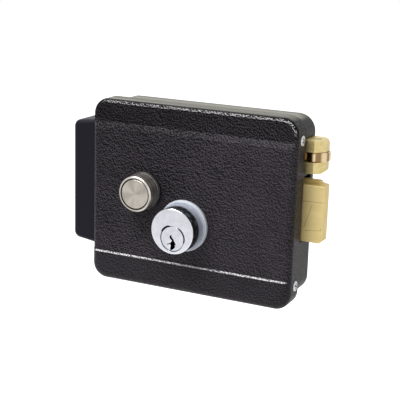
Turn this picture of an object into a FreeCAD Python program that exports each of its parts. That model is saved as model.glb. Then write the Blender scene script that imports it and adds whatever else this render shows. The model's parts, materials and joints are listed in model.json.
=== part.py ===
import FreeCAD, Part
import math
import os
import Sketcher
from FreeCAD import Placement, Rotation, Vector

# Electric gate lock. X runs towards the bolts, Z up, and Y from the viewer to the gate.
# The origin is the centre of the back face, where the four fixing screws go through.
# Depth is counted from the back face towards the viewer, so a point at depth d has y = -d.

os.makedirs("parts", exist_ok=True)
doc = FreeCAD.newDocument("gate_lock")

driving = {
    # front cover, one pressed sheet with a raised middle field
    "cover_width": 121.5,
    "cover_height": 104,
    "lock_depth": 34,
    "cover_flange": 12.8,
    "cover_sheet": 1.5,
    "cover_corner": 8.8,
    "cover_round": 3.6,
    "field_rise": 1.6,
    "top_strip": 16,
    "top_slope": 3.2,
    "bottom_strip": 17,
    "bottom_slope": 0.9,
    "bottom_rise": 1.2,
    # folded case behind it
    "cover_gap": 0.6,
    "case_sheet": 2,
    "case_corner": 9.5,
    "case_reach": 30,
    "case_edge": 1,
    "tab_length": 18.5,
    "tab_height": 32,
    # fixing holes and the hole for the outer cylinder
    "fixing_width": 76,
    "fixing_height": 86,
    "fixing_radius": 2.75,
    "tail_hole_radius": 10,
    # screws of the cover
    "screw_inset": 12.4,
    "screw_rim": 0.95,
    "screw_radius": 1.5,
    "screw_head_radius": 2.85,
    "screw_length": 7,
    "screw_cross": 0.45,
    "screw_cross_arm": 1.9,
    "screw_cross_depth": 0.8,
    # clearances
    "slide_gap": 0.3,
    "turn_gap": 0.05,
    "hole_gap": 0.15,
    "slot_gap": 0.35,
    # latch bolt
    "latch_out": 13.6,
    "latch_length": 28.25,
    "latch_height": 31.2,
    "latch_depth": 20,
    "latch_thickness": 15,
    "latch_face": 7.7,
    "latch_bevel": 10.6,
    "latch_rib_rise": 1.4,
    "latch_rib_short": 4.6,
    "latch_rib_back": 10,
    "latch_rib_thickness": 4,
    "latch_edge": 0.4,
    "latch_corner": 1.3,
    "latch_slot_over": 1.5,
    "latch_travel": 13.5,
    # loading bolt and its roller
    "trigger_out": 11,
    "trigger_length": 25.65,
    "trigger_middle": 29.95,
    "trigger_height": 17.5,
    "trigger_depth": 18.6,
    "trigger_thickness": 15.6,
    "trigger_nose": 4.8,
    "trigger_tip": 1.5,
    "roller_radius": 7.3,
    "roller_inset": 5.8,
    "roller_slot": 5.4,
    "roller_edge": 0.5,
    "roller_pin_radius": 2,
    "roller_pin_short": 0.4,
    # guides of both bolts
    "rail_length": 26,
    "rail_inset": 0.35,
    "lower_rail_thickness": 3.8,
    "upper_rail_thickness": 3.2,
    "upper_rail_length": 10,
    "upper_rail_inset": 2.7,
    "keeper_thickness": 1.5,
    "keeper_inset": 1.6,
    "keeper_screw_radius": 1.2,
    "keeper_screw_length": 7,
    "keeper_screw_head": 2.2,
    "keeper_screw_inset": 3,
    "keeper_screw_head_thickness": 1.5,
    "bracket_place": 18,
    "bracket_sheet": 2.5,
    "bracket_foot": 12,
    "bracket_bottom": 12,
    "bracket_top": 38,
    "bracket_depth": 20,
    # guide rods and springs of both bolts
    "guide_rod_radius": 2,
    "guide_rod_seat": 8,
    "guide_rod_past": 4,
    "latch_rod_depth": 12.5,
    "bolt_spring_radius": 3.7,
    "bolt_spring_wire": 0.6,
    "bolt_spring_turns": 7,
    # drawbar between the cam and the latch
    "tail_seat": 6,
    "tail_end": 6,
    "tail_back": 10,
    "tail_thickness": 3,
    "tail_height": 4.9,
    "tail_lug": 4,
    "tail_lug_height": 4.1,
    "cam_lug_gap": 0.4,
    # key cylinder
    "cylinder_x": -2.2,
    "cylinder_z": -13,
    "cylinder_radius": 12.6,
    "cylinder_out": 14.6,
    "cylinder_back": 20,
    "cylinder_edge": 0.7,
    "collar_radius": 14.3,
    "collar_thickness": 2.4,
    "collar_bevel": 0.9,
    "cylinder_nut_radius": 15.6,
    "cylinder_nut_thickness": 3,
    "cylinder_nut_notch": 1.5,
    "plug_x": 0.3,
    "plug_drop": 4,
    "plug_radius": 7.1,
    "plug_inset": 0.25,
    "plug_edge": 0.5,
    "plug_past": 0.3,
    "keyway_height": 9,
    "keyway_width": 3.6,
    "keyway_below": 6.7,
    "keyway_depth": 22,
    "cam_thickness": 3,
    "cam_hub_radius": 7.4,
    "cam_reach": 12,
    "cam_width": 7,
    "cam_screw_radius": 1.5,
    "cam_screw_head": 2.75,
    "cam_screw_head_thickness": 1.9,
    "cam_screw_length": 8,
    # push button
    "button_x": -27.3,
    "button_z": 3.4,
    "button_out": 10.9,
    "bezel_tip_radius": 9.83,
    "bezel_base_radius": 10.76,
    "bezel_base": 1.5,
    "bezel_lip": 0.45,
    "bezel_groove": 0.3,
    "bezel_rim": 0.5,
    "bezel_floor": 1,
    "bezel_shank_radius": 7,
    "bezel_shank": 7,
    "bezel_nut_circle": 10.4,
    "bezel_nut_thickness": 3,
    "button_radius": 8.25,
    "button_cap": 3.5,
    "button_edge": 0.35,
    "button_stem_radius": 3,
    "button_stem_end": 22.2,
    "button_tip": 1.4,
    "button_travel": 3,
    "clip_thickness": 0.8,
    "clip_radius": 4.6,
    "clip_groove": 0.6,
    "button_spring_radius": 5,
    "button_spring_wire": 0.4,
    "button_spring_turns": 3,
    # lever behind the button
    "lever_width": 8,
    "lever_thickness": 2.5,
    "lever_bottom": 0,
    "lever_pivot": 25.4,
    "lever_top": 36,
    "lever_hub_radius": 3,
    "lever_pin_radius": 1.5,
    "ear_sheet": 2,
    "ear_gap": 1.2,
    "ear_height": 6.4,
    "lever_foot_height": 11,
    # solenoid
    "coil_middle": -34,
    "coil_spacing": 19,
    "coil_rise": 24.9,
    "coil_length": 20,
    "core_radius": 3.5,
    "core_proud": 0.6,
    "bobbin_wall": 0.8,
    "bobbin_flange_radius": 8.8,
    "bobbin_flange": 1.2,
    "winding_radius": 8.2,
    "yoke_sheet": 3,
    "yoke_half": 18.5,
    "yoke_below": 12,
    "yoke_above": 11.5,
    "yoke_ear": 2.5,
    "yoke_ear_height": 6,
    "armature_sheet": 2,
    "armature_gap": 1.3,
    "armature_above": 5.5,
    "armature_tongue_width": 8,
    "armature_tongue_gap": 3.5,
    "armature_pivot_below": 13,
    "armature_knuckle": 2.1,
    "armature_pin_radius": 1,
    "armature_spring_above": 8.8,
    "armature_spring_radius": 2.2,
    "armature_spring_wire": 0.4,
    "armature_spring_turns": 6,
    # terminals at the left
    "box_length": 23.2,
    "box_depth": 20,
    "box_height": 76,
    "box_taper": 3,
    "box_wall": 2,
    "box_corner": 4,
    "box_round": 2.4,
    "box_arm_length": 11,
    "box_arm_back": 7,
    "box_arm_width": 7,
    "box_arm_thickness": 3.2,
    "box_arm_past": 4,
    "terminal_length": 12,
    "terminal_height": 20,
    "terminal_thickness": 11,
    "terminal_inset": 1.2,
    "terminal_pitch": 10,
    "terminal_hole_radius": 1.6,
    "terminal_screw_radius": 1.8,
    "terminal_screw_seat": 4,
    "wire_hole_height": 16,
    "wire_hole_depth": 8,
    "wire_hole_back": 4,
    "wire_radius": 0.7,
    "wire_bend": 3,
    "left_wire_along": 6,
    "right_wire_along": 8,
}

sheet = doc.addObject("Spreadsheet::Sheet", "Sizes")
for row, (alias, number) in enumerate(driving.items(), start=1):
    sheet.set(f"A{row}", alias)
    sheet.set(f"B{row}", str(number))
    sheet.setAlias(f"B{row}", alias)
doc.recompute()


class Size:
    """A number together with the sheet formula that it comes from."""

    def __init__(self, value, formula):
        self.value = float(value)
        self.formula = formula

    def __add__(self, other):
        other = sized(other)
        return Size(self.value + other.value, f"({self.formula} + {other.formula})")

    def __sub__(self, other):
        other = sized(other)
        return Size(self.value - other.value, f"({self.formula} - {other.formula})")

    def __mul__(self, other):
        other = sized(other)
        return Size(self.value * other.value, f"({self.formula} * {other.formula})")

    def __truediv__(self, other):
        other = sized(other)
        return Size(self.value / other.value, f"({self.formula} / {other.formula})")

    def __neg__(self):
        return self * -1

    def __radd__(self, other):
        return sized(other) + self

    def __rsub__(self, other):
        return sized(other) - self

    def __rmul__(self, other):
        return sized(other) * self


def sized(number):
    """Give a plain number the form of a sheet size."""
    return number if isinstance(number, Size) else Size(number, f"({float(number)})")


class Cells:
    """The sheet's sizes, each under its own name."""

    def __getattr__(self, alias):
        return Size(driving[alias], f"Sizes.{alias}")


s = Cells()
past = 1.0  # how far a cut starts outside the metal
pieces = []


def bind(thing, path, size):
    """Tie one property of a document object to the sheet."""
    thing.setExpression(path, sized(size).formula)


def place(thing, x, depth, z):
    """Set an object's own zero point at x, depth and z."""
    bind(thing, "Placement.Base.x", x)
    bind(thing, "Placement.Base.y", -sized(depth))
    bind(thing, "Placement.Base.z", z)


def keep(thing, name):
    """Name a finished piece and list it for writing."""
    thing.Label = name
    pieces.append(thing)
    return thing


# Sketches

planes = {"front": "XZ_Plane", "side": "YZ_Plane", "plan": "XY_Plane"}
turns = {
    "x": Rotation(Vector(0, 1, 0), 90),
    "depth": Rotation(Vector(1, 0, 0), 90),
    "z": Rotation(),
}


def new_body(name):
    body = doc.addObject("PartDesign::Body", name)
    body.Label = f"{name}_shape"
    return body


def sketch(body, view, offset=0):
    """Open a sketch on one of the body's own planes, moved along that plane's normal.

    The front view is drawn in x and z, and its normal points to the viewer.
    The side view is drawn in y and z, and the plan in x and y.
    """
    plane = [item for item in body.Origin.OriginFeatures if item.Role == planes[view]][0]
    drawing = body.newObject("Sketcher::SketchObject", f"{body.Name}_{view}")
    drawing.AttachmentSupport = (plane, [""])
    drawing.MapMode = "FlatFace"
    bind(drawing, "AttachmentOffset.Base.z", offset)
    return drawing


def pin_point(drawing, edge, end, x, y):
    """Tie a point of the sketch to its place from the sketch's origin."""
    origin = (-1, 1)
    for kind, size in (("DistanceX", sized(x)), ("DistanceY", sized(y))):
        rule = Sketcher.Constraint(kind, *origin, edge, end, size.value)
        index = drawing.addConstraint(rule)
        drawing.setExpression(f"Constraints[{index}]", size.formula)


def outline(drawing, points):
    """Draw a closed outline through the points."""
    first = drawing.GeometryCount
    spots = [Vector(sized(x).value, sized(y).value, 0) for x, y in points]
    for here, there in zip(spots, spots[1:] + spots[:1]):
        drawing.addGeometry(Part.LineSegment(here, there), False)
    for number, (x, y) in enumerate(points):
        following = first + (number + 1) % len(points)
        drawing.addConstraint(Sketcher.Constraint("Coincident", first + number, 2, following, 1))
        pin_point(drawing, first + number, 1, x, y)


def rectangle(drawing, x0, x1, y0, y1):
    outline(drawing, [(x0, y0), (x1, y0), (x1, y1), (x0, y1)])


def circle(drawing, x, y, radius):
    centre = Vector(sized(x).value, sized(y).value, 0)
    ring = Part.Circle(centre, Vector(0, 0, 1), sized(radius).value)
    edge = drawing.addGeometry(ring, False)
    index = drawing.addConstraint(Sketcher.Constraint("Radius", edge, sized(radius).value))
    drawing.setExpression(f"Constraints[{index}]", sized(radius).formula)
    pin_point(drawing, edge, 3, x, y)


# Features of a body

def pad(body, drawing, length):
    feature = body.newObject("PartDesign::Pad", f"{body.Name}_pad")
    feature.Profile = drawing
    bind(feature, "Length", length)
    return feature


def pocket(body, drawing, length):
    """Cut a sketch away against its plane's normal, and make sure that it cuts."""
    doc.recompute()
    before = body.Shape.Volume
    feature = body.newObject("PartDesign::Pocket", f"{body.Name}_pocket")
    feature.Profile = drawing
    bind(feature, "Length", length)
    doc.recompute()
    if not body.Shape.Volume < before:
        raise ValueError(f"{feature.Name} cuts nothing")
    return feature


def dress(body, kind, wanted, path, size):
    """Fillet or chamfer the edges of the body's last feature that are wanted."""
    doc.recompute()
    base = body.Tip
    edges = [f"Edge{n}" for n, edge in enumerate(base.Shape.Edges, start=1) if wanted(edge)]
    if not edges:
        raise ValueError(f"{body.Name} has no such edge")
    feature = body.newObject(f"PartDesign::{kind}", f"{body.Name}_{kind}")
    feature.Base = (base, edges)
    bind(feature, path, size)
    doc.recompute()
    return feature


def fillet(body, wanted, radius):
    return dress(body, "Fillet", wanted, "Radius", radius)


def chamfer(body, wanted, size):
    return dress(body, "Chamfer", wanted, "Size", size)


def hollow(body, wanted, wall):
    """Shell a body inwards, open at the wanted faces."""
    doc.recompute()
    base = body.Tip
    faces = [f"Face{n}" for n, face in enumerate(base.Shape.Faces, start=1) if wanted(face)]
    feature = body.newObject("PartDesign::Thickness", f"{body.Name}_shell")
    feature.Base = (base, faces)
    feature.Reversed = True
    feature.Join = "Intersection"
    bind(feature, "Value", wall)
    doc.recompute()
    return feature


def near(first, second):
    return abs(first - second) < 1e-4


def straight(edge):
    return edge.Curve.TypeId == "Part::GeomLine"


def runs(edge, axis):
    """Tell whether a straight edge is parallel to an axis."""
    box = edge.BoundBox
    spans = {"x": box.XLength, "depth": box.YLength, "z": box.ZLength}
    others = [span for name, span in spans.items() if name != axis]
    return straight(edge) and max(others) < 1e-4


def at_depth(thing, depth):
    """Tell whether an edge or face lies flat at a depth."""
    box = thing.BoundBox
    return near(box.YMin, -sized(depth).value) and near(box.YMax, -sized(depth).value)


def at_x(thing, x):
    box = thing.BoundBox
    return near(box.XMin, sized(x).value) and near(box.XMax, sized(x).value)


def at_z(thing, z):
    box = thing.BoundBox
    return near(box.ZMin, sized(z).value) and near(box.ZMax, sized(z).value)


# Turned pieces, bars, boxes and springs

def turned(name, x, z, profile):
    """Turn a profile of radii and depths about an axis along the depth."""
    body = new_body(name)
    drawing = sketch(body, "plan")
    outline(drawing, [(radius, -sized(depth)) for radius, depth in profile])
    spin = body.newObject("PartDesign::Revolution", f"{name}_turning")
    spin.Profile = drawing
    spin.ReferenceAxis = (drawing, ["V_Axis"])
    spin.Angle = 360
    place(body, x, 0, z)
    return body


def bar(name, direction, x, depth, z, length, radius):
    """A round bar that starts at the given point."""
    thing = doc.addObject("Part::Cylinder", name)
    thing.Placement = Placement(Vector(), turns[direction])
    bind(thing, "Radius", radius)
    bind(thing, "Height", length)
    place(thing, x, depth, z)
    return thing


def box(name, x0, x1, depth0, depth1, z0, z1):
    thing = doc.addObject("Part::Box", name)
    bind(thing, "Length", sized(x1) - x0)
    bind(thing, "Width", sized(depth1) - depth0)
    bind(thing, "Height", sized(z1) - z0)
    place(thing, x0, depth1, z0)
    return thing


def cut(name, base, *tools):
    tool = tools[0] if len(tools) == 1 else fuse(f"{name}_tools", *tools)
    thing = doc.addObject("Part::Cut", name)
    thing.Base = base
    thing.Tool = tool
    return thing


def fuse(name, *things):
    thing = doc.addObject("Part::MultiFuse", name)
    thing.Shapes = list(things)
    thing.Refine = True
    return thing


def group(name, *things):
    thing = doc.addObject("Part::Compound", name)
    thing.Links = list(things)
    return thing


def spring(name, direction, x, depth, z, length, radius, wire, coils):
    """A coil spring that starts at the given point."""
    body = new_body(name)
    drawing = sketch(body, "front")
    circle(drawing, radius, wire + s.turn_gap, wire)
    feature = body.newObject("PartDesign::AdditiveHelix", f"{name}_helix")
    feature.Profile = drawing
    feature.ReferenceAxis = (drawing, ["V_Axis"])
    feature.Mode = "height-turns-angle"
    bind(feature, "Height", sized(length) - 2 * (wire + s.turn_gap))
    bind(feature, "Turns", coils)
    body.Placement = Placement(Vector(), turns[direction])
    place(body, x, depth, z)
    return keep(body, name)


# Places that several pieces share

cover_side = s.cover_width / 2
cover_edge = s.cover_height / 2
field_back = s.lock_depth - s.cover_sheet
crease = s.bottom_strip - cover_edge
cover_rim = s.lock_depth - s.cover_flange
screw_depth = cover_rim + s.screw_rim + s.screw_head_radius
screw_height = cover_edge - s.screw_inset
case_side = cover_side - s.cover_sheet - s.cover_gap
case_edge = cover_edge - s.cover_sheet - s.cover_gap
floor = s.case_sheet
latch_end = case_side + s.latch_out
latch_start = latch_end - s.latch_length
latch_half = s.latch_height / 2
latch_back = s.latch_depth - s.latch_thickness
rib_half = latch_half + s.latch_rib_rise
trigger_end = case_side + s.trigger_out
trigger_start = trigger_end - s.trigger_length
trigger_bottom = s.trigger_middle - s.trigger_height / 2
trigger_top = s.trigger_middle + s.trigger_height / 2
trigger_back = s.trigger_depth - s.trigger_thickness
trigger_rod_depth = s.trigger_depth - s.trigger_thickness / 2
roller_x = trigger_end - s.roller_inset
rail_end = case_side - s.case_sheet - s.rail_inset
rail_depth = s.latch_depth + s.slide_gap
bracket_face = s.bracket_place + s.bracket_sheet
plug_x = s.cylinder_x + s.plug_x
plug_z = s.cylinder_z - s.plug_drop
cam_front = s.cylinder_back - s.plug_past
cam_back = cam_front - s.cam_thickness
bezel_floor = s.lock_depth + s.bezel_floor
button_front = s.lock_depth + s.button_out
shank_end = s.lock_depth - s.bezel_shank
lever_front = s.button_stem_end - s.slide_gap
lever_back = lever_front - s.lever_thickness
lever_axis = lever_front - s.lever_thickness / 2
coil_z = s.coil_rise - case_edge
yoke_front = floor + s.yoke_sheet
armature_back = yoke_front + s.coil_length + s.core_proud + s.armature_gap
armature_front = armature_back + s.armature_sheet
armature_axis = armature_back + s.armature_sheet / 2
yoke_left = s.coil_middle - s.yoke_half
yoke_right = s.coil_middle + s.yoke_half
armature_pivot = coil_z - s.armature_pivot_below
box_right = -case_side - s.slide_gap
box_left = box_right - s.box_length
terminal_x = -case_side - s.tab_length + s.terminal_inset


def lock_case():
    """The folded tray: bolt slots at its right, arm slots and wire hole at its left."""
    body = new_body("lock_case")
    drawing = sketch(body, "front")
    rectangle(drawing, -case_side, case_side, -case_edge, case_edge)
    pad(body, drawing, s.case_reach)
    fillet(body, lambda edge: runs(edge, "depth"), s.case_corner)
    hollow(body, lambda face: at_depth(face, s.case_reach), s.case_sheet)
    fillet(body, lambda edge: at_depth(edge, 0), s.case_edge)

    tab = sketch(body, "front")
    rectangle(tab, -case_side - s.tab_length, -case_side + s.case_edge + past,
              -s.tab_height / 2, s.tab_height / 2)
    pad(body, tab, s.case_sheet)

    wall = s.case_sheet + 2 * past
    slots = sketch(body, "side", case_side + past)
    rectangle(slots, -s.latch_depth - s.slot_gap, -latch_back + s.slot_gap,
              -rib_half - s.latch_slot_over, rib_half + s.latch_slot_over)
    rectangle(slots, -s.trigger_depth - s.slot_gap, -trigger_back + s.slot_gap,
              trigger_bottom - s.slot_gap, trigger_top + s.slot_gap)
    pocket(body, slots, wall)

    left = sketch(body, "side", -case_side + s.case_sheet + past)
    half = s.wire_hole_height / 2
    rectangle(left, -s.wire_hole_back - s.wire_hole_depth, -s.wire_hole_back, -half, half)
    for low, high in arm_heights():
        rectangle(left, -s.box_arm_back - s.box_arm_width - s.slot_gap, -s.box_arm_back + s.slot_gap,
                  low - s.slot_gap, high + s.slot_gap)
    pocket(body, left, wall)

    screws = sketch(body, "side", case_side + past)
    for height in (-screw_height, screw_height):
        circle(screws, -screw_depth, height, s.screw_radius + s.turn_gap)
    pocket(body, screws, s.cover_width)

    back = sketch(body, "front", s.case_sheet + past)
    for x in (-s.fixing_width / 2, s.fixing_width / 2):
        for z in (-s.fixing_height / 2, s.fixing_height / 2):
            circle(back, x, z, s.fixing_radius)
    circle(back, plug_x, plug_z, s.tail_hole_radius)
    pocket(body, back, wall)
    return keep(body, "lock_case")


def cover_form(name, back, wall):
    """A flat field, a strip set back above it and one standing proud below, a wall further in."""
    body = new_body(name)
    side = cover_side - wall
    edge = cover_edge - wall
    front = s.lock_depth - wall
    field = sketch(body, "front", back)
    rectangle(field, -side, side, -edge, edge)
    pad(body, field, front - back)
    fillet(body, lambda line: runs(line, "depth"), s.cover_corner - wall)
    fillet(body, lambda line: at_depth(line, front), s.cover_round - wall)

    ledge = crease - wall
    strip_front = front + s.bottom_rise
    strip = sketch(body, "front", back)
    rectangle(strip, -side, side, -edge, ledge)
    pad(body, strip, strip_front - back)
    fillet(body, lambda line: runs(line, "depth") and at_z(line, -edge), s.cover_corner - wall)
    fillet(body, lambda line: at_depth(line, strip_front) and not at_z(line, ledge),
           s.cover_round + s.bottom_rise - wall)

    bends = sketch(body, "side", cover_side + past)
    outside = strip_front + past
    top = cover_edge - s.top_strip
    top_back = front - s.field_rise
    reach = s.bottom_rise + past
    far = cover_edge + past
    outline(bends, [(-outside, top - s.top_slope / s.field_rise * reach),
                    (-top_back, top + s.top_slope), (-top_back, far), (-outside, far)])
    outline(bends, [(-front, ledge), (-outside, ledge - s.bottom_slope / s.bottom_rise * reach),
                    (-outside, ledge + past), (-front, ledge + past)])
    pocket(body, bends, s.cover_width + 2 * past)
    return body


def front_cover():
    """The pressed cover with its holes, hollow behind."""
    body = cover_form("cover_outside", cover_rim, 0)
    holes = sketch(body, "front", s.lock_depth + past)
    circle(holes, s.button_x, s.button_z, s.bezel_shank_radius + s.hole_gap)
    circle(holes, s.cylinder_x, s.cylinder_z, s.cylinder_radius + s.hole_gap)
    pocket(body, holes, s.cover_sheet + 2 * past)

    screws = sketch(body, "side", cover_side + past)
    for height in (-screw_height, screw_height):
        circle(screws, -screw_depth, height, screw_neck() + s.hole_gap)
    pocket(body, screws, s.cover_width + 2 * past)
    chamfer(body, lambda edge: not straight(edge) and edge.BoundBox.ZLength < s.screw_head_radius.value * 2
            and (at_x(edge, cover_side) or at_x(edge, -cover_side)), screw_sink())
    inside = cover_form("cover_inside", cover_rim - past, s.cover_sheet)
    return keep(cut("front_cover", body, inside), "front_cover")


def arm_heights():
    """The lowest and highest points of the two arms that hold the terminal cover."""
    high = s.box_height / 2 - s.box_wall + s.slide_gap
    low = high - s.box_arm_thickness
    return (low, high), (-high, -low)


def screw_neck():
    """The radius where a sunk head meets its shank."""
    return s.screw_radius + s.turn_gap


def screw_sink():
    return s.screw_head_radius - screw_neck()


def copies(name, thing, spots):
    """Set one piece at several spots, each a rotation, x, depth and z."""
    placed = []
    for number, (rotation, x, depth, z) in enumerate(spots, start=1):
        one = group(f"{name}_{number}", thing)
        one.Placement = Placement(Vector(), rotation)
        place(one, x, depth, z)
        placed.append(one)
    return keep(group(name, *placed), name)


def spun(name, profile):
    """Turn a profile of radii and heights about the body's own upright axis."""
    body = new_body(name)
    drawing = sketch(body, "front")
    outline(drawing, profile)
    spin = body.newObject("PartDesign::Revolution", f"{name}_turning")
    spin.Profile = drawing
    spin.ReferenceAxis = (drawing, ["V_Axis"])
    spin.Angle = 360
    return body


def cover_screws():
    """Four sunk screws with a cross cut in the head, one solid each."""
    screw = spun("cover_screw", [(0, -s.screw_length), (s.screw_radius, -s.screw_length),
                                 (s.screw_radius, -screw_sink()), (screw_neck(), -screw_sink()),
                                 (s.screw_head_radius, 0), (0, 0)])
    arm = s.screw_cross_arm
    blade = s.screw_cross / 2
    cross = sketch(screw, "plan")
    outline(cross, [(-arm, -blade), (-blade, -blade), (-blade, -arm), (blade, -arm),
                    (blade, -blade), (arm, -blade), (arm, blade), (blade, blade),
                    (blade, arm), (-blade, arm), (-blade, blade), (-arm, blade)])
    pocket(screw, cross, s.screw_cross_depth)
    inwards = Rotation(Vector(0, 1, 0), -90)
    spots = [(turns["x"], cover_side, screw_depth, screw_height),
             (turns["x"], cover_side, screw_depth, -screw_height),
             (inwards, -cover_side, screw_depth, screw_height),
             (inwards, -cover_side, screw_depth, -screw_height)]
    return copies("cover_screws", screw, spots)


# Terminals

def terminal_cover():
    """A moulded cap, open to the gate and to the case, with two arms into the case."""
    body = new_body("terminal_cover")
    drawing = sketch(body, "front")
    half = s.box_height / 2
    outline(drawing, [(box_right, -half), (box_right, half), (box_left, half - s.box_taper),
                      (box_left, -half + s.box_taper)])
    pad(body, drawing, s.box_depth)
    fillet(body, lambda edge: runs(edge, "depth") and at_x(edge, box_left), s.box_corner)
    fillet(body, lambda edge: at_depth(edge, s.box_depth) and not at_x(edge, box_right), s.box_round)
    hollow(body, lambda face: at_depth(face, 0) or at_x(face, box_right), s.box_wall)
    arms = sketch(body, "front", s.box_arm_back)
    arm_end = box_right + s.box_arm_past
    for low, high in arm_heights():
        rectangle(arms, arm_end - s.box_arm_length, arm_end, low, high)
    pad(body, arms, s.box_arm_width)
    return keep(body, "terminal_cover")


def terminal_block():
    body = new_body("terminal_block")
    drawing = sketch(body, "front", floor)
    half = s.terminal_height / 2
    rectangle(drawing, terminal_x, terminal_x + s.terminal_length, -half, half)
    pad(body, drawing, s.terminal_thickness)
    middle = terminal_x + s.terminal_length / 2
    front = floor + s.terminal_thickness
    screws = sketch(body, "front", front + past)
    entries = sketch(body, "side", middle)
    for z in (-s.terminal_pitch / 2, s.terminal_pitch / 2):
        circle(screws, middle, z, s.terminal_screw_radius)
        circle(entries, -floor - s.terminal_screw_seat, z, s.terminal_hole_radius)
    pocket(body, screws, s.terminal_thickness - s.terminal_screw_seat + past)
    pocket(body, entries, s.terminal_length / 2 + past)
    return keep(body, "terminal_block")


def terminal_screws():
    middle = terminal_x + s.terminal_length / 2
    seat = floor + s.terminal_screw_seat + s.terminal_hole_radius
    length = s.terminal_thickness - s.terminal_screw_seat - s.terminal_hole_radius - s.hole_gap
    screws = []
    for number, z in enumerate((-s.terminal_pitch / 2, s.terminal_pitch / 2), start=1):
        screws.append(bar(f"terminal_screw_{number}", "depth", middle, seat, z, length,
                          s.terminal_screw_radius - s.turn_gap))
    return keep(group("terminal_screws", *screws), "terminal_screws")


def lead_wires():
    """Two wires from the terminals through the case wall to the windings."""
    begin = (terminal_x + s.terminal_length).value
    level = (floor + s.terminal_screw_seat + s.terminal_hole_radius).value
    inside = (-case_side + s.case_sheet).value + s.wire_bend.value
    top = (coil_z + s.winding_radius).value
    solids = []
    for side, along in ((-1, s.left_wire_along), (1, s.right_wire_along)):
        z = (s.terminal_pitch / 2).value * side
        coil_x = (s.coil_middle + s.coil_spacing / 2 * side).value
        middle = (yoke_front + along).value
        over = top + 2 * s.wire_bend.value
        route = [Vector(begin, -level, z), Vector(inside, -level, z),
                 Vector(coil_x, -middle, over), Vector(coil_x, -middle, top)]
        solids.append(tube(route, s.wire_bend.value, s.wire_radius.value))
    thing = doc.addObject("Part::Feature", "lead_wires")
    thing.Shape = Part.makeCompound(solids)
    return keep(thing, "lead_wires")


def tube(route, bend, radius):
    """A round wire along straight runs joined by tangent arcs."""
    edges = []
    start = route[0]
    for before, corner, after in zip(route, route[1:], route[2:]):
        back = (before - corner).normalize()
        ahead = (after - corner).normalize()
        half = back.getAngle(ahead) / 2
        reach = bend / math.tan(half)
        middle = corner + (back + ahead).normalize() * (bend / math.sin(half) - bend)
        first = corner + back * reach
        last = corner + ahead * reach
        edges.append(Part.LineSegment(start, first).toShape())
        edges.append(Part.Arc(first, middle, last).toShape())
        start = last
    edges.append(Part.LineSegment(start, route[-1]).toShape())
    path = Part.Wire(edges)
    ring = Part.Wire(Part.makeCircle(radius, route[0], route[1] - route[0]))
    return path.makePipeShell([ring], True, False)


# Key cylinder

def cylinder_body():
    body = new_body("cylinder_body")
    drawing = sketch(body, "front", s.cylinder_back)
    circle(drawing, s.cylinder_x, s.cylinder_z, s.cylinder_radius)
    front = s.lock_depth + s.cylinder_out
    pad(body, drawing, front - s.cylinder_back)
    fillet(body, lambda edge: at_depth(edge, front), s.cylinder_edge)
    bore = sketch(body, "front", front + past)
    circle(bore, plug_x, plug_z, s.plug_radius + s.turn_gap)
    pocket(body, bore, front - s.cylinder_back + 2 * past)
    return keep(body, "cylinder_body")


def cylinder_collar():
    bore = s.cylinder_radius + s.turn_gap
    front = s.lock_depth + s.collar_thickness
    body = turned("cylinder_collar", s.cylinder_x, s.cylinder_z,
                  [(bore, s.lock_depth), (s.collar_radius, s.lock_depth),
                   (s.collar_radius, front - s.collar_bevel), (s.collar_radius - s.collar_bevel, front),
                   (bore, front)])
    return keep(body, "cylinder_collar")


def cylinder_nut():
    """A round nut behind the cover, with four notches for its spanner."""
    body = new_body("cylinder_nut")
    back = field_back - s.cylinder_nut_thickness
    drawing = sketch(body, "front", back)
    circle(drawing, s.cylinder_x, s.cylinder_z, s.cylinder_nut_radius)
    circle(drawing, s.cylinder_x, s.cylinder_z, s.cylinder_radius + s.turn_gap)
    pad(body, drawing, s.cylinder_nut_thickness)
    notches = sketch(body, "front", field_back + past)
    root = s.cylinder_nut_radius - s.cylinder_nut_notch
    far = s.cylinder_nut_radius + past
    wide = s.cylinder_nut_notch
    for x0, x1, z0, z1 in ((root, far, -wide, wide), (-far, -root, -wide, wide),
                           (-wide, wide, root, far), (-wide, wide, -far, -root)):
        rectangle(notches, s.cylinder_x + x0, s.cylinder_x + x1,
                  s.cylinder_z + z0, s.cylinder_z + z1)
    pocket(body, notches, s.cylinder_nut_thickness + 2 * past)
    return keep(body, "cylinder_nut")


# the winding outline of the keyway, in shares of its width and height
keyway_form = [(-0.27, 0.98), (-0.46, 0.85), (-0.4, 0.76), (-0.15, 0.67), (-0.05, 0.6), (-0.3, 0.49),
               (-0.32, 0.4), (-0.23, 0.32), (-0.27, 0.19), (-0.33, 0.09), (-0.2, 0),
               (0.12, 0.1), (0.38, 0.18), (0.54, 0.28), (0.44, 0.37), (0.54, 0.45),
               (0.45, 0.54), (0.33, 0.6), (0.24, 0.7), (0.03, 0.79), (-0.13, 0.86), (-0.1, 0.95)]


def cylinder_plug():
    """The turning plug, with its winding keyway and a hole for the cam's screw."""
    body = new_body("cylinder_plug")
    front = s.lock_depth + s.cylinder_out - s.plug_inset
    drawing = sketch(body, "front", cam_front)
    circle(drawing, plug_x, plug_z, s.plug_radius)
    pad(body, drawing, front - cam_front)
    chamfer(body, lambda edge: at_depth(edge, front), s.plug_edge)
    keyway = sketch(body, "front", front + past)
    low = plug_z - s.keyway_below
    outline(keyway, [(plug_x + s.keyway_width * across, low + s.keyway_height * up)
                     for across, up in keyway_form])
    pocket(body, keyway, s.keyway_depth + past)
    hole = sketch(body, "front", cam_front + s.cam_screw_length - s.cam_thickness)
    circle(hole, plug_x, plug_z, s.cam_screw_radius)
    pocket(body, hole, s.cam_screw_length)
    return keep(body, "cylinder_plug")


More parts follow.
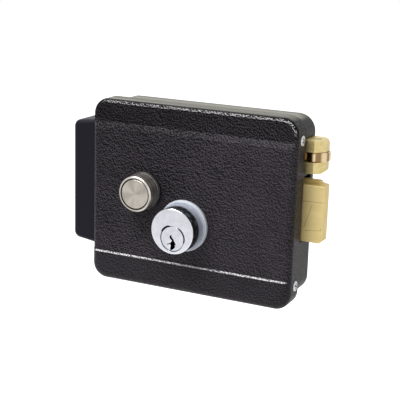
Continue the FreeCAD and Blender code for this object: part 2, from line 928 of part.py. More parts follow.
def plug_cam():
    """The cam on the plug's end: a hub and a finger with a round tip."""
    hub = bar("cam_hub", "depth", plug_x, cam_back, plug_z, s.cam_thickness, s.cam_hub_radius)
    sweep = bar("cam_sweep", "depth", plug_x, cam_back, plug_z, s.cam_thickness, s.cam_reach)
    finger = box("cam_finger", plug_x - s.cam_width / 2, plug_x + s.cam_width / 2,
                 cam_back, cam_front, plug_z - s.cam_reach - past, plug_z)
    tip = doc.addObject("Part::MultiCommon", "cam_tip")
    tip.Shapes = [sweep, finger]
    hole = bar("cam_hole", "depth", plug_x, cam_back - past, plug_z, s.cam_thickness + 2 * past,
               s.cam_screw_radius)
    return keep(cut("plug_cam", fuse("cam_blank", hub, tip), hole), "plug_cam")


def cam_screw():
    head = cam_back - s.cam_screw_head_thickness
    end = cam_back + s.cam_screw_length
    body = turned("cam_screw", plug_x, plug_z,
                  [(0, head), (s.cam_screw_head, head), (s.cam_screw_head, cam_back),
                   (s.cam_screw_radius, cam_back), (s.cam_screw_radius, end), (0, end)])
    return keep(body, "cam_screw")


# Push button

def button_bezel():
    """The turned ring round the button, with its floor and threaded shank."""
    bore = s.button_radius + s.slide_gap
    stem = s.button_stem_radius + s.turn_gap
    lip = s.lock_depth + s.bezel_base
    waist = s.bezel_base_radius - s.bezel_lip
    groove = lip + s.bezel_lip + s.bezel_rim
    body = turned("button_bezel", s.button_x, s.button_z,
                  [(stem, shank_end), (s.bezel_shank_radius, shank_end),
                   (s.bezel_shank_radius, s.lock_depth), (s.bezel_base_radius, s.lock_depth),
                   (s.bezel_base_radius, lip), (waist, lip + s.bezel_lip), (waist, groove),
                   (waist - s.bezel_groove, groove + s.bezel_groove),
                   (waist, groove + 2 * s.bezel_groove),
                   (s.bezel_tip_radius, button_front - s.bezel_rim),
                   (s.bezel_tip_radius - s.bezel_rim, button_front), (bore, button_front),
                   (bore, bezel_floor), (stem, bezel_floor)])
    return keep(body, "button_bezel")


def bezel_nut():
    hexagon = doc.addObject("Part::Prism", "bezel_hexagon")
    hexagon.Polygon = 6
    hexagon.Placement = Placement(Vector(), turns["depth"])
    bind(hexagon, "Circumradius", s.bezel_nut_circle)
    bind(hexagon, "Height", s.bezel_nut_thickness)
    back = field_back - s.bezel_nut_thickness
    place(hexagon, s.button_x, back, s.button_z)
    bore = bar("bezel_nut_bore", "depth", s.button_x, back - past, s.button_z,
               s.bezel_nut_thickness + 2 * past, s.bezel_shank_radius + s.turn_gap)
    return keep(cut("bezel_nut", hexagon, bore), "bezel_nut")


def push_button():
    """The cap that is pressed and its stem, with a groove for the clip."""
    stem = s.button_stem_radius
    neck = stem - s.clip_groove
    clip_front = shank_end - s.turn_gap
    clip_back = clip_front - s.clip_thickness
    cap_back = button_front - s.button_cap
    body = turned("push_button", s.button_x, s.button_z,
                  [(0, s.button_stem_end), (stem - s.button_tip, s.button_stem_end),
                   (stem, s.button_stem_end + s.button_tip), (stem, clip_back), (neck, clip_back),
                   (neck, clip_front), (stem, clip_front), (stem, cap_back),
                   (s.button_radius, cap_back), (s.button_radius, button_front - s.button_edge),
                   (s.button_radius - s.button_edge, button_front), (0, button_front)])
    return keep(body, "push_button")


def button_clip():
    back = shank_end - s.turn_gap - s.clip_thickness
    disc = bar("clip_disc", "depth", s.button_x, back, s.button_z, s.clip_thickness, s.clip_radius)
    bore = bar("clip_bore", "depth", s.button_x, back - past, s.button_z,
               s.clip_thickness + 2 * past, s.button_stem_radius - s.clip_groove)
    return keep(cut("button_clip", disc, bore), "button_clip")


def release_lever():
    """The flat lever that the button's stem pushes back."""
    body = new_body("release_lever")
    half = s.lever_width / 2
    drawing = sketch(body, "front", lever_back)
    rectangle(drawing, s.button_x - half, s.button_x + half, s.lever_bottom, s.lever_top)
    pad(body, drawing, s.lever_thickness)
    hub = sketch(body, "side", s.button_x - half)
    circle(hub, -lever_axis, s.lever_pivot, s.lever_hub_radius)
    pad(body, hub, s.lever_width)
    bore = sketch(body, "side", s.button_x + half + past)
    circle(bore, -lever_axis, s.lever_pivot, s.lever_pin_radius + s.turn_gap)
    pocket(body, bore, s.lever_width + 2 * past)
    return keep(body, "release_lever")


def lever_bracket():
    """A folded bracket on the case floor, with an ear each side of the lever."""
    body = new_body("lever_bracket")
    reach = s.lever_width / 2 + s.ear_gap
    x0, x1 = s.button_x - reach - s.ear_sheet, s.button_x + reach + s.ear_sheet
    top = lever_axis + s.lever_hub_radius
    drawing = sketch(body, "plan", s.lever_pivot - s.ear_height / 2)
    outline(drawing, [(x0, -floor), (x1, -floor), (x1, -top), (x1 - s.ear_sheet, -top),
                      (x1 - s.ear_sheet, -floor - s.ear_sheet),
                      (x0 + s.ear_sheet, -floor - s.ear_sheet), (x0 + s.ear_sheet, -top), (x0, -top)])
    pad(body, drawing, s.ear_height)
    bore = sketch(body, "side", x1 + past)
    circle(bore, -lever_axis, s.lever_pivot, s.lever_pin_radius)
    pocket(body, bore, x1 - x0 + 2 * past)
    keep(body, "lever_bracket")
    pin = bar("lever_pin", "x", x0, lever_axis, s.lever_pivot, x1 - x0, s.lever_pin_radius)
    return keep(pin, "lever_pin")


# Latch and loading bolt

def latch_bolt():
    """The brass latch: bevelled towards the gate, with a rib behind and two seats inside."""
    body = new_body("latch_bolt")
    drawing = sketch(body, "plan", -latch_half)
    outline(drawing, [(latch_start, -latch_back), (latch_start, -s.latch_depth),
                      (latch_end, -s.latch_depth), (latch_end, -s.latch_depth + s.latch_face),
                      (latch_end - s.latch_bevel, -latch_back)])
    pad(body, drawing, s.latch_height)
    low = -latch_half.value
    chamfer(body, lambda edge: at_x(edge, latch_end) and near(edge.BoundBox.ZMax, low), s.latch_corner)
    fillet(body, lambda edge: at_depth(edge, s.latch_depth) and not at_x(edge, latch_start), s.latch_edge)
    rib = sketch(body, "plan", -rib_half)
    rectangle(rib, latch_start, latch_end - s.latch_rib_short,
              -s.latch_rib_back - s.latch_rib_thickness, -s.latch_rib_back)
    pad(body, rib, rib_half * 2)
    rod = sketch(body, "side", latch_start + s.guide_rod_seat)
    circle(rod, -s.latch_rod_depth, 0, s.guide_rod_radius)
    pocket(body, rod, s.guide_rod_seat + past)
    slot = sketch(body, "side", latch_start + s.tail_seat)
    rectangle(slot, -s.tail_back - s.tail_thickness, -s.tail_back, tail_low(), tail_high())
    pocket(body, slot, s.tail_seat + past)
    return keep(body, "latch_bolt")


def tail_high():
    """The drawbar's upper edge, just clear of the cam's tip at the top of its turn."""
    return plug_z + s.cam_reach + s.cam_lug_gap


def tail_low():
    return tail_high() - s.tail_height


def latch_tail():
    """The flat drawbar, with a lug bent forward into the plane of the cam."""
    body = new_body("latch_tail")
    lug_end = s.tail_end + s.tail_lug
    lug_top = tail_high() + s.tail_lug_height
    drawing = sketch(body, "front", s.tail_back)
    outline(drawing, [(s.tail_end, tail_low()), (latch_start + s.tail_seat, tail_low()),
                      (latch_start + s.tail_seat, tail_high()), (lug_end, tail_high()),
                      (lug_end, lug_top), (s.tail_end, lug_top)])
    pad(body, drawing, s.tail_thickness)
    lug = sketch(body, "front", s.tail_back)
    rectangle(lug, s.tail_end, lug_end, tail_high(), lug_top)
    pad(body, lug, cam_front - s.slide_gap - s.tail_back)
    return keep(body, "latch_tail")


def guide_rods():
    start = s.bracket_place - s.guide_rod_past
    latch = bar("latch_rod", "x", start, s.latch_rod_depth, 0,
                latch_start + s.guide_rod_seat - start, s.guide_rod_radius)
    trigger = bar("trigger_rod", "x", start, trigger_rod_depth, s.trigger_middle,
                  trigger_start + s.guide_rod_seat - start, s.guide_rod_radius)
    keep(latch, "latch_rod")
    return keep(trigger, "trigger_rod")


def bolt_springs():
    spring("latch_spring", "x", bracket_face, s.latch_rod_depth, 0, latch_start - bracket_face,
           s.bolt_spring_radius, s.bolt_spring_wire, s.bolt_spring_turns)
    return spring("trigger_spring", "x", bracket_face, trigger_rod_depth, s.trigger_middle,
                  trigger_start - bracket_face, s.bolt_spring_radius, s.bolt_spring_wire,
                  s.bolt_spring_turns)


def trigger_bolt():
    """The loading bolt: a nose bevelled both ways, slotted for its roller."""
    body = new_body("trigger_bolt")
    nose = trigger_end - s.trigger_nose
    drawing = sketch(body, "plan", trigger_bottom)
    outline(drawing, [(trigger_start, -trigger_back), (trigger_start, -s.trigger_depth),
                      (nose, -s.trigger_depth), (trigger_end, -s.trigger_depth + s.trigger_nose),
                      (trigger_end, -trigger_back - s.trigger_nose), (nose, -trigger_back)])
    pad(body, drawing, s.trigger_height)
    chamfer(body, lambda edge: at_x(edge, trigger_end) and runs(edge, "depth"), s.trigger_tip)
    slot = sketch(body, "front", s.trigger_depth + past)
    half = s.roller_slot / 2
    rectangle(slot, roller_x - s.roller_radius - s.slide_gap, trigger_end + past,
              s.trigger_middle - half, s.trigger_middle + half)
    pocket(body, slot, s.trigger_thickness + 2 * past)
    pin = sketch(body, "plan", trigger_top + past)
    circle(pin, roller_x, -trigger_rod_depth, s.roller_pin_radius)
    pocket(body, pin, s.trigger_height - s.roller_pin_short + past)
    rod = sketch(body, "side", trigger_start + s.guide_rod_seat)
    circle(rod, -trigger_rod_depth, s.trigger_middle, s.guide_rod_radius)
    pocket(body, rod, s.guide_rod_seat + past)
    return keep(body, "trigger_bolt")


def roller():
    half = s.roller_slot / 2 - s.slide_gap / 2
    bore = s.roller_pin_radius + s.turn_gap
    rim = s.roller_radius - s.roller_edge
    body = spun("roller", [(bore, -half), (rim, -half), (s.roller_radius, -half + s.roller_edge),
                           (s.roller_radius, half - s.roller_edge), (rim, half), (bore, half)])
    place(body, roller_x, trigger_rod_depth, s.trigger_middle)
    keep(body, "roller")
    low = trigger_bottom + s.roller_pin_short
    pin = bar("roller_pin", "z", roller_x, trigger_rod_depth, low,
              trigger_top - s.roller_pin_short - low, s.roller_pin_radius)
    return keep(pin, "roller_pin")


# Guides

rail_start = rail_end - s.rail_length
rib_clear = rib_half + s.slide_gap
lower_z = (-rib_clear - s.lower_rail_thickness, -rib_clear)
middle_z = (rib_clear, trigger_bottom - s.slide_gap)
upper_z = (trigger_top + s.slide_gap, trigger_top + s.slide_gap + s.upper_rail_thickness)
upper_end = rail_end - s.upper_rail_inset
upper_start = upper_end - s.upper_rail_length
keeper_end = rail_end - s.keeper_inset
keeper_front = rail_depth + s.keeper_thickness


def screw_spots():
    """Where the keeper is screwed down: two to each long rail and one to the short one."""
    first = rail_start + s.keeper_screw_inset
    last = keeper_end - s.keeper_screw_inset
    lower = (lower_z[0] + lower_z[1]) / 2
    middle = (middle_z[0] + middle_z[1]) / 2
    upper = (upper_z[0] + upper_z[1]) / 2
    return {"lower_rail": [(first, lower), (last, lower)],
            "middle_rail": [(first, middle), (last, middle)],
            "upper_rail": [((upper_start + upper_end) / 2, upper)]}


def rails():
    """Three rails on the case floor, drilled for the keeper's screws."""
    spans = {"lower_rail": (rail_start, rail_end, lower_z),
             "middle_rail": (rail_start, rail_end, middle_z),
             "upper_rail": (upper_start, upper_end, upper_z)}
    for name, (x0, x1, (z0, z1)) in spans.items():
        block = box(f"{name}_block", x0, x1, floor, rail_depth, z0, z1)
        holes = [bar(f"{name}_hole_{number}", "depth", x, keeper_front - s.keeper_screw_length, z,
                     s.keeper_screw_length, s.keeper_screw_radius)
                 for number, (x, z) in enumerate(screw_spots()[name], start=1)]
        keep(cut(name, block, *holes), name)


def bolt_keeper():
    """The plate over both bolts, stepped round the upper fixing screw."""
    body = new_body("bolt_keeper")
    drawing = sketch(body, "front", rail_depth)
    outline(drawing, [(rail_start, lower_z[0]), (keeper_end, lower_z[0]), (keeper_end, upper_z[1]),
                      (upper_start, upper_z[1]), (upper_start, s.trigger_middle),
                      (rail_start, s.trigger_middle)])
    pad(body, drawing, s.keeper_thickness)
    holes = sketch(body, "front", keeper_front + past)
    for spots in screw_spots().values():
        for x, z in spots:
            circle(holes, x, z, s.keeper_screw_radius + s.turn_gap)
    pocket(body, holes, s.keeper_thickness + 2 * past)
    return keep(body, "bolt_keeper")


def keeper_screws():
    screw = turned("keeper_screw", 0, 0,
                   [(0, -s.keeper_screw_length), (s.keeper_screw_radius, -s.keeper_screw_length),
                    (s.keeper_screw_radius, 0), (s.keeper_screw_head, 0),
                    (s.keeper_screw_head, s.keeper_screw_head_thickness),
                    (0, s.keeper_screw_head_thickness)])
    spots = [(turns["z"], x, keeper_front, z) for row in screw_spots().values() for x, z in row]
    return copies("keeper_screws", screw, spots)


def spring_bracket():
    """A folded bracket that both springs push against and both guide rods run in."""
    body = new_body("spring_bracket")
    foot = s.bracket_place + s.bracket_foot
    drawing = sketch(body, "plan", -s.bracket_bottom)
    outline(drawing, [(s.bracket_place, -floor), (foot, -floor), (foot, -floor - s.bracket_sheet),
                      (bracket_face, -floor - s.bracket_sheet), (bracket_face, -s.bracket_depth),
                      (s.bracket_place, -s.bracket_depth)])
    pad(body, drawing, s.bracket_bottom + s.bracket_top)
    holes = sketch(body, "side", bracket_face + past)
    circle(holes, -s.latch_rod_depth, 0, s.guide_rod_radius + s.turn_gap)
    circle(holes, -trigger_rod_depth, s.trigger_middle, s.guide_rod_radius + s.turn_gap)
    rectangle(holes, -s.tail_back - s.tail_thickness - s.slot_gap, -s.tail_back + s.slot_gap,
              tail_low() - s.slot_gap, tail_high() + s.slot_gap)
    pocket(body, holes, s.bracket_sheet + 2 * past)
    return keep(body, "spring_bracket")


# Solenoid

def solenoid_yoke():
    """The iron plate under both windings, with an ear at each end for the armature's pin."""
    body = new_body("solenoid_yoke")
    bottom = coil_z - s.yoke_below
    drawing = sketch(body, "front", floor)
    rectangle(drawing, yoke_left, yoke_right, bottom, coil_z + s.yoke_above)
    pad(body, drawing, s.yoke_sheet)
    ears = sketch(body, "front", floor)
    low = armature_pivot - s.yoke_ear
    for x in (yoke_left, yoke_right - s.yoke_ear):
        rectangle(ears, x, x + s.yoke_ear, low, low + s.yoke_ear_height)
    pad(body, ears, armature_axis + s.yoke_ear - floor)
    bore = sketch(body, "side", yoke_right + past)
    circle(bore, -armature_axis, armature_pivot, s.armature_pin_radius)
    pocket(body, bore, s.yoke_half * 2 + 2 * past)
    return keep(body, "solenoid_yoke")


def coils():
    """A core, a bobbin and a winding on each side of the middle."""
    inner = s.core_radius + s.turn_gap
    tube_radius = inner + s.bobbin_wall
    back, front = yoke_front, yoke_front + s.coil_length
    for side, sign in (("left", -1), ("right", 1)):
        x = s.coil_middle + s.coil_spacing / 2 * sign
        core = bar(f"core_{side}", "depth", x, back, coil_z, s.coil_length + s.core_proud,
                   s.core_radius)
        keep(core, f"core_{side}")
        bobbin = turned(f"bobbin_{side}", x, coil_z,
                        [(inner, back), (s.bobbin_flange_radius, back),
                         (s.bobbin_flange_radius, back + s.bobbin_flange),
                         (tube_radius, back + s.bobbin_flange), (tube_radius, front - s.bobbin_flange),
                         (s.bobbin_flange_radius, front - s.bobbin_flange),
                         (s.bobbin_flange_radius, front), (inner, front)])
        keep(bobbin, f"bobbin_{side}")
        winding = turned(f"winding_{side}", x, coil_z,
                         [(tube_radius, back + s.bobbin_flange),
                          (s.winding_radius, back + s.bobbin_flange),
                          (s.winding_radius, front - s.bobbin_flange),
                          (tube_radius, front - s.bobbin_flange)])
        keep(winding, f"winding_{side}")


def armature():
    """The iron plate that the windings pull in, with a tongue towards the release lever."""
    body = new_body("armature")
    left = yoke_left + s.yoke_ear + s.slide_gap
    right = yoke_right - s.yoke_ear - s.slide_gap
    half = s.armature_tongue_width / 2
    top = coil_z + s.yoke_above
    tongue = s.lever_bottom - s.armature_tongue_gap
    drawing = sketch(body, "front", armature_back)
    outline(drawing, [(left, armature_pivot), (right, armature_pivot), (right, top),
                      (s.coil_middle + half, top), (s.coil_middle + half, tongue),
                      (s.coil_middle - half, tongue), (s.coil_middle - half, top), (left, top)])
    pad(body, drawing, s.armature_sheet)
    knuckle = sketch(body, "side", left)
    circle(knuckle, -armature_axis, armature_pivot, s.armature_knuckle)
    pad(body, knuckle, right - left)
    bore = sketch(body, "side", right + past)
    circle(bore, -armature_axis, armature_pivot, s.armature_pin_radius + s.turn_gap)
    pocket(body, bore, right - left + 2 * past)
    keep(body, "armature")
    pin = bar("armature_pin", "x", yoke_left, armature_axis, armature_pivot, s.yoke_half * 2,
              s.armature_pin_radius)
    keep(pin, "armature_pin")
    return spring("armature_spring", "depth", s.coil_middle, yoke_front,
                  coil_z + s.armature_spring_above, armature_back - yoke_front,
                  s.armature_spring_radius, s.armature_spring_wire, s.armature_spring_turns)


lock_case()
front_cover()
cover_screws()
terminal_cover()
terminal_block()
terminal_screws()
lead_wires()
cylinder_body()
cylinder_collar()
cylinder_nut()
cylinder_plug()
plug_cam()
cam_screw()
button_bezel()
bezel_nut()
push_button()
button_clip()
spring("button_spring", "depth", s.button_x, bezel_floor, s.button_z,
       button_front - s.button_cap - bezel_floor, s.button_spring_radius, s.button_spring_wire,
       s.button_spring_turns)
release_lever()
lever_bracket()
latch_bolt()
latch_tail()
guide_rods()
bolt_springs()
trigger_bolt()
roller()
rails()
bolt_keeper()
keeper_screws()
spring_bracket()
solenoid_yoke()
coils()
armature()

doc.recompute()
for thing in doc.Objects:
    if {"Invalid", "Error"} & set(thing.State):
        raise ValueError(f"{thing.Name} failed: {thing.State}")
for piece in pieces:
    if piece.Shape.isNull() or not piece.Shape.isValid():
        raise ValueError(f"{piece.Label} has no valid shape")
for piece in pieces:
    piece.Shape.exportStep(f"parts/{piece.Label}.step")
    print(piece.Label, len(piece.Shape.Solids), round(piece.Shape.Volume, 1))
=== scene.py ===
import bpy
import math
from mathutils import Matrix, Vector
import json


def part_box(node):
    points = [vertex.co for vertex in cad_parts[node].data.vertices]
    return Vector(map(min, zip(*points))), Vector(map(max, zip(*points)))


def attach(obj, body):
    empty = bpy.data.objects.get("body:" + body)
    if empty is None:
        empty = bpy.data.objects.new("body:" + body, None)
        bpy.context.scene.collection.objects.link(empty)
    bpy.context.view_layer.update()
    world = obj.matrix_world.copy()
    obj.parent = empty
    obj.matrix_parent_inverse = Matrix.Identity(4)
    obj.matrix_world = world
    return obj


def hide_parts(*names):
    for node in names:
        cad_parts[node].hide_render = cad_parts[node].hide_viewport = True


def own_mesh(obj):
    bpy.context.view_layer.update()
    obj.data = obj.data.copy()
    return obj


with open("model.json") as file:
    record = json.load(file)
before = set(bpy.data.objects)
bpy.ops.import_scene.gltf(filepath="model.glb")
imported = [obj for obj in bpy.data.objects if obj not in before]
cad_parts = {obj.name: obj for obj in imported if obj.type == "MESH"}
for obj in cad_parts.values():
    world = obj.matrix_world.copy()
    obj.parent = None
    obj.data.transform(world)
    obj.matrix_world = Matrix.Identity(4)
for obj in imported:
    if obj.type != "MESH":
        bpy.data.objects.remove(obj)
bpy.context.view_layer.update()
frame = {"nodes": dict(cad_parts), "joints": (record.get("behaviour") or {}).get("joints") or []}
mm = 0.001
print("frame loaded, nodes:", len(frame["nodes"]))


# small helpers for node trees

def addNode(tree, kind, sockets=None, **settings):
    node = tree.nodes.new(kind)
    for name, value in settings.items():
        setattr(node, name, value)
    for name, value in (sockets or {}).items():
        feed(tree, value, node.inputs[name])
    return node


def feed(tree, value, socket):
    if isinstance(value, bpy.types.NodeSocket):
        tree.links.new(value, socket)
    else:
        socket.default_value = value


def mathNode(tree, operation, *values):
    node = addNode(tree, "ShaderNodeMath", operation=operation)
    for number, value in enumerate(values):
        feed(tree, value, node.inputs[number])
    return node.outputs[0]


def vectorMath(tree, operation, *values):
    node = addNode(tree, "ShaderNodeVectorMath", operation=operation)
    for number, value in enumerate(values):
        feed(tree, value, node.inputs[number])
    return node.outputs[0]


def scaleVector(tree, value, scale):
    return addNode(tree, "ShaderNodeVectorMath", {0: value, "Scale": scale}, operation="SCALE").outputs[0]


def ramp(tree, value, low, high, fromLow=0.0, fromHigh=1.0):
    node = addNode(tree, "ShaderNodeMapRange", {"Value": value, "From Min": low, "From Max": high,
                                                "To Min": fromLow, "To Max": fromHigh},
                   interpolation_type="SMOOTHSTEP")
    return node.outputs["Result"]


def inBand(tree, value, low, high, soft):
    # 1 between low and high, falling to 0 over soft on both sides
    rise = ramp(tree, value, low - soft, low)
    return mathNode(tree, "MULTIPLY", rise, ramp(tree, value, high, high + soft, 1.0, 0.0))


def lengthOf(tree, value):
    return addNode(tree, "ShaderNodeVectorMath", {0: value}, operation="LENGTH").outputs["Value"]


def axesOf(tree, value):
    return addNode(tree, "ShaderNodeSeparateXYZ", {"Vector": value}).outputs


def noiseOf(tree, place, size, detail=1.5):
    # size is the width of one blotch, in the units of the place
    return addNode(tree, "ShaderNodeTexNoise", {"Vector": place, "Scale": 1 / size,
                                                "Detail": detail}).outputs["Fac"]


def mixColour(tree, mask, first, second):
    node = addNode(tree, "ShaderNodeMix", data_type="RGBA")
    feed(tree, mask, node.inputs["Factor"])
    feed(tree, first, node.inputs[6])
    feed(tree, second, node.inputs[7])
    return node.outputs[2]


def linear(red, green, blue):
    # colour as seen on screen, 0 to 255, to Blender's scene colour
    parts = []
    for part in (red, green, blue):
        part = part / 255
        parts.append(part / 12.92 if part <= 0.04045 else ((part + 0.055) / 1.055) ** 2.4)
    return (*parts, 1.0)


def shaderGroup(name, inputs, outputs):
    tree = bpy.data.node_groups.new(name, "ShaderNodeTree")
    for label, kind, value in inputs:
        socket = tree.interface.new_socket(label, in_out="INPUT", socket_type=kind)
        if value is not None:
            socket.default_value = value
    for label, kind in outputs:
        tree.interface.new_socket(label, in_out="OUTPUT", socket_type=kind)
    return tree, tree.nodes.new("NodeGroupInput").outputs, tree.nodes.new("NodeGroupOutput").inputs


def useGroup(tree, group, sockets):
    return addNode(tree, "ShaderNodeGroup", sockets, node_tree=group).outputs


# effects that several materials use

def makeHammerSkin():
    # small swellings of enamel, with painted light on their upper sides and painted shade below them, as from a lamp
    # above, and painted glints on the lit sides
    tree, given, result = shaderGroup(
        "hammerSkin",
        [("Place", "NodeSocketVector", None), ("Cell Size", "NodeSocketFloat", 1.5),
         ("Wander", "NodeSocketFloat", 0.4), ("Lift", "NodeSocketVector", (0.17, 0.0, 0.36))],
        [("Height", "NodeSocketFloat"), ("Painted Shading", "NodeSocketFloat"), ("Painted Glint", "NodeSocketFloat")])
    scaled = scaleVector(tree, given["Place"], mathNode(tree, "DIVIDE", 1.0, given["Cell Size"]))
    lifted = vectorMath(tree, "ADD", scaled, given["Lift"])
    noise = {"Scale": 1.0, "Detail": 1.4, "Distortion": given["Wander"]}
    here = addNode(tree, "ShaderNodeTexNoise", {"Vector": scaled, **noise}).outputs["Fac"]
    above = addNode(tree, "ShaderNodeTexNoise", {"Vector": lifted, **noise}).outputs["Fac"]
    # the noise here less the noise just above: painted light on the upper sides, painted shade below
    paintedShading = mathNode(tree, "SUBTRACT", here, above)
    feed(tree, here, result["Height"])
    feed(tree, ramp(tree, paintedShading, -0.07, 0.115), result["Painted Shading"])
    feed(tree, ramp(tree, paintedShading, 0.0, 0.06), result["Painted Glint"])
    return tree


def makePatina():
    # slow and fast blotches, 0 to 1
    tree, given, result = shaderGroup(
        "patina",
        [("Place", "NodeSocketVector", None), ("Size", "NodeSocketFloat", 8.0)],
        [("Slow", "NodeSocketFloat"), ("Fast", "NodeSocketFloat")])
    scale = mathNode(tree, "DIVIDE", 1.0, given["Size"])
    slow = addNode(tree, "ShaderNodeTexNoise", {"Vector": given["Place"], "Scale": scale, "Detail": 3.0,
                                                "Roughness": 0.55}).outputs["Fac"]
    fast = addNode(tree, "ShaderNodeTexNoise",
                   {"Vector": given["Place"], "Scale": mathNode(tree, "MULTIPLY", scale, 9.0),
                    "Detail": 2.0}).outputs["Fac"]
    feed(tree, ramp(tree, slow, 0.3, 0.7), result["Slow"])
    feed(tree, ramp(tree, fast, 0.3, 0.7), result["Fast"])
    return tree


def makeBrushLines():
    # long fine lines: the noise is stretched along one axis
    tree, given, result = shaderGroup(
        "brushLines",
        [("Place", "NodeSocketVector", None), ("Stretch", "NodeSocketVector", (0.03, 1.0, 1.0)),
         ("Line Size", "NodeSocketFloat", 0.15)],
        [("Height", "NodeSocketFloat"), ("Streak", "NodeSocketFloat")])
    stretched = vectorMath(tree, "MULTIPLY", given["Place"], given["Stretch"])
    scale = mathNode(tree, "DIVIDE", 1.0, given["Line Size"])
    fine = addNode(tree, "ShaderNodeTexNoise", {"Vector": stretched, "Scale": scale, "Detail": 3.0,
                                                "Roughness": 0.6}).outputs["Fac"]
    wide = addNode(tree, "ShaderNodeTexNoise",
                   {"Vector": stretched, "Scale": mathNode(tree, "MULTIPLY", scale, 0.22),
                    "Detail": 2.0}).outputs["Fac"]
    feed(tree, fine, result["Height"])
    feed(tree, ramp(tree, wide, 0.35, 0.65), result["Streak"])
    return tree


def makeTurnedRings():
    # radius from the axis of a turned piece, and the tool's rings on it
    tree, given, result = shaderGroup(
        "turnedRings",
        [("Place", "NodeSocketVector", None), ("Ring Pitch", "NodeSocketFloat", 0.25)],
        [("Radius", "NodeSocketFloat"), ("Angle", "NodeSocketFloat"), ("Ring", "NodeSocketFloat")])
    parts = axesOf(tree, given["Place"])
    flat = addNode(tree, "ShaderNodeCombineXYZ", {"X": parts["X"], "Z": parts["Z"]}).outputs[0]
    radius = lengthOf(tree, flat)
    feed(tree, radius, result["Radius"])
    feed(tree, mathNode(tree, "ARCTAN2", parts["Z"], parts["X"]), result["Angle"])
    turns = mathNode(tree, "DIVIDE", mathNode(tree, "ADD", radius, parts["Y"]), given["Ring Pitch"])
    along = addNode(tree, "ShaderNodeCombineXYZ", {"X": turns}).outputs[0]
    ring = addNode(tree, "ShaderNodeTexNoise", {"Vector": along, "Scale": 1.0, "Detail": 2.0}).outputs["Fac"]
    feed(tree, ring, result["Ring"])
    return tree


def makeEdgeMask():
    # 1 on sharp edges, 0 on the flats
    tree, given, result = shaderGroup(
        "edgeMask",
        [("Width", "NodeSocketFloat", 0.3)],
        [("Edge", "NodeSocketFloat")])
    width = mathNode(tree, "MULTIPLY", given["Width"], mm)
    rounded = addNode(tree, "ShaderNodeBevel", {"Radius": width}, samples=6).outputs["Normal"]
    plain = addNode(tree, "ShaderNodeNewGeometry").outputs["Normal"]
    facing = addNode(tree, "ShaderNodeVectorMath", {0: rounded, 1: plain}, operation="DOT_PRODUCT").outputs["Value"]
    feed(tree, ramp(tree, facing, 0.999, 0.88), result["Edge"])
    return tree


hammerSkin = makeHammerSkin()
patina = makePatina()
brushLines = makeBrushLines()
turnedRings = makeTurnedRings()
edgeMask = makeEdgeMask()


def newFinish(name, centre=(0, 0, 0)):
    # material, its tree, its shader and a place in millimetres from the given centre
    material = bpy.data.materials.new(name)
    material.use_nodes = True
    tree = material.node_tree
    shader = tree.nodes["Principled BSDF"]
    spot = addNode(tree, "ShaderNodeTexCoord").outputs["Object"]
    mapping = addNode(tree, "ShaderNodeMapping", {
        "Vector": spot, "Scale": (1 / mm, 1 / mm, 1 / mm), "Location": [-part for part in centre]})
    return material, tree, shader, mapping.outputs["Vector"]


def addBump(tree, shader, height, distance):
    # distance is how high the pattern stands, in millimetres
    bump = addNode(tree, "ShaderNodeBump", {"Height": height, "Distance": distance * mm, "Strength": 1.0})
    feed(tree, bump.outputs["Normal"], shader.inputs["Normal"])


# hammered enamel of the cover and the case

# the two colours of the swellings: painted light on their upper sides and painted shade below them
coverEnamel = {"raised": (84, 79, 86), "sunk": (0, 0, 0), "roughness": 0.3, "cellSize": 0.98, "wander": 0.6,
               "depth": 0.35, "specular": 0.08, "blotchSize": 15.0, "blotchShare": 0.12}
caseEnamel = {"raised": (48, 45, 43), "sunk": (18, 17, 17), "roughness": 0.36, "cellSize": 1.6, "wander": 0.4,
              "depth": 0.12, "specular": 0.15, "blotchSize": 11.0, "blotchShare": 0.4}
# walls that face up are painted lighter, a painted sheen from the lamp above, and faintly striped along their length
topWallSheen = {"light": (137, 136, 123), "dark": (92, 91, 83), "lineSize": 1.1, "upStart": 0.75, "upEnd": 0.95}
# painted shade: the front is painted darkest and crispest at its upper left and on the set-back strip at the top, where
# less light falls, and flattest on the strip below the crease; losses are taken off the tone, and middle is what it
# flattens to
paintedCoverShade = {"topStart": 38.6, "topEnd": 40.4, "topLoss": 0.28, "corner": (-55.0, -34.0, 38.0),
              "cornerReach": 100.0, "cornerLoss": 0.2, "lowStart": -35.4, "lowEnd": -36.4, "lowFlat": 0.45,
              "lowLoss": 0.09, "farStart": 50.0, "farEnd": 140.0, "farFlat": 0.32, "middle": 0.45}
screwRingShade = {"place": (60.75, 25.0, 39.6), "inner": 2.9, "outer": 3.7, "colour": (8, 8, 9)}
# painted highlights along the lower crease and on the rounded top edge, and a painted shade line along the top edge
paintedEdgeLight = {"creaseLow": -35.8, "creaseHigh": -35.25, "creaseFront": 33.9, "sideEnd": 57.5,
          "colour": (255, 253, 255), "grain": 0.6, "edgeStart": 0.85, "edgeEnd": 1.9, "edgeSoft": 0.4,
          "edgeShare": 0.62, "leftFade": -57.0, "leftFull": -50.0, "darkStart": 0.12, "darkEnd": 0.62,
          "darkColour": (5, 5, 5), "darkSoft": 0.12, "creaseSoft": 0.15,
          "sideFade": 3.0, "gapStart": 0.44, "gapEnd": 0.53, "gapLeast": 0.12}
coverOutline = {"halfWidth": 60.75, "halfHeight": 52.0, "corner": 8.8}


def fromOutline(tree, place):
    # distance in from the cover's rounded outline, the same at each height above the gate
    axes = axesOf(tree, place)
    corner = coverOutline["corner"]
    across = mathNode(tree, "SUBTRACT", mathNode(tree, "ABSOLUTE", axes["X"]), coverOutline["halfWidth"] - corner)
    upward = mathNode(tree, "SUBTRACT", axes["Z"], coverOutline["halfHeight"] - corner)
    away = addNode(tree, "ShaderNodeCombineXYZ", {"X": mathNode(tree, "MAXIMUM", across, 0.0),
                                                  "Y": mathNode(tree, "MAXIMUM", upward, 0.0)}).outputs[0]
    length = lengthOf(tree, away)
    inward = mathNode(tree, "SUBTRACT", corner, length)
    # only the top edge and the upper part of the corners
    return inward, ramp(tree, upward, -1.0, 3.0)
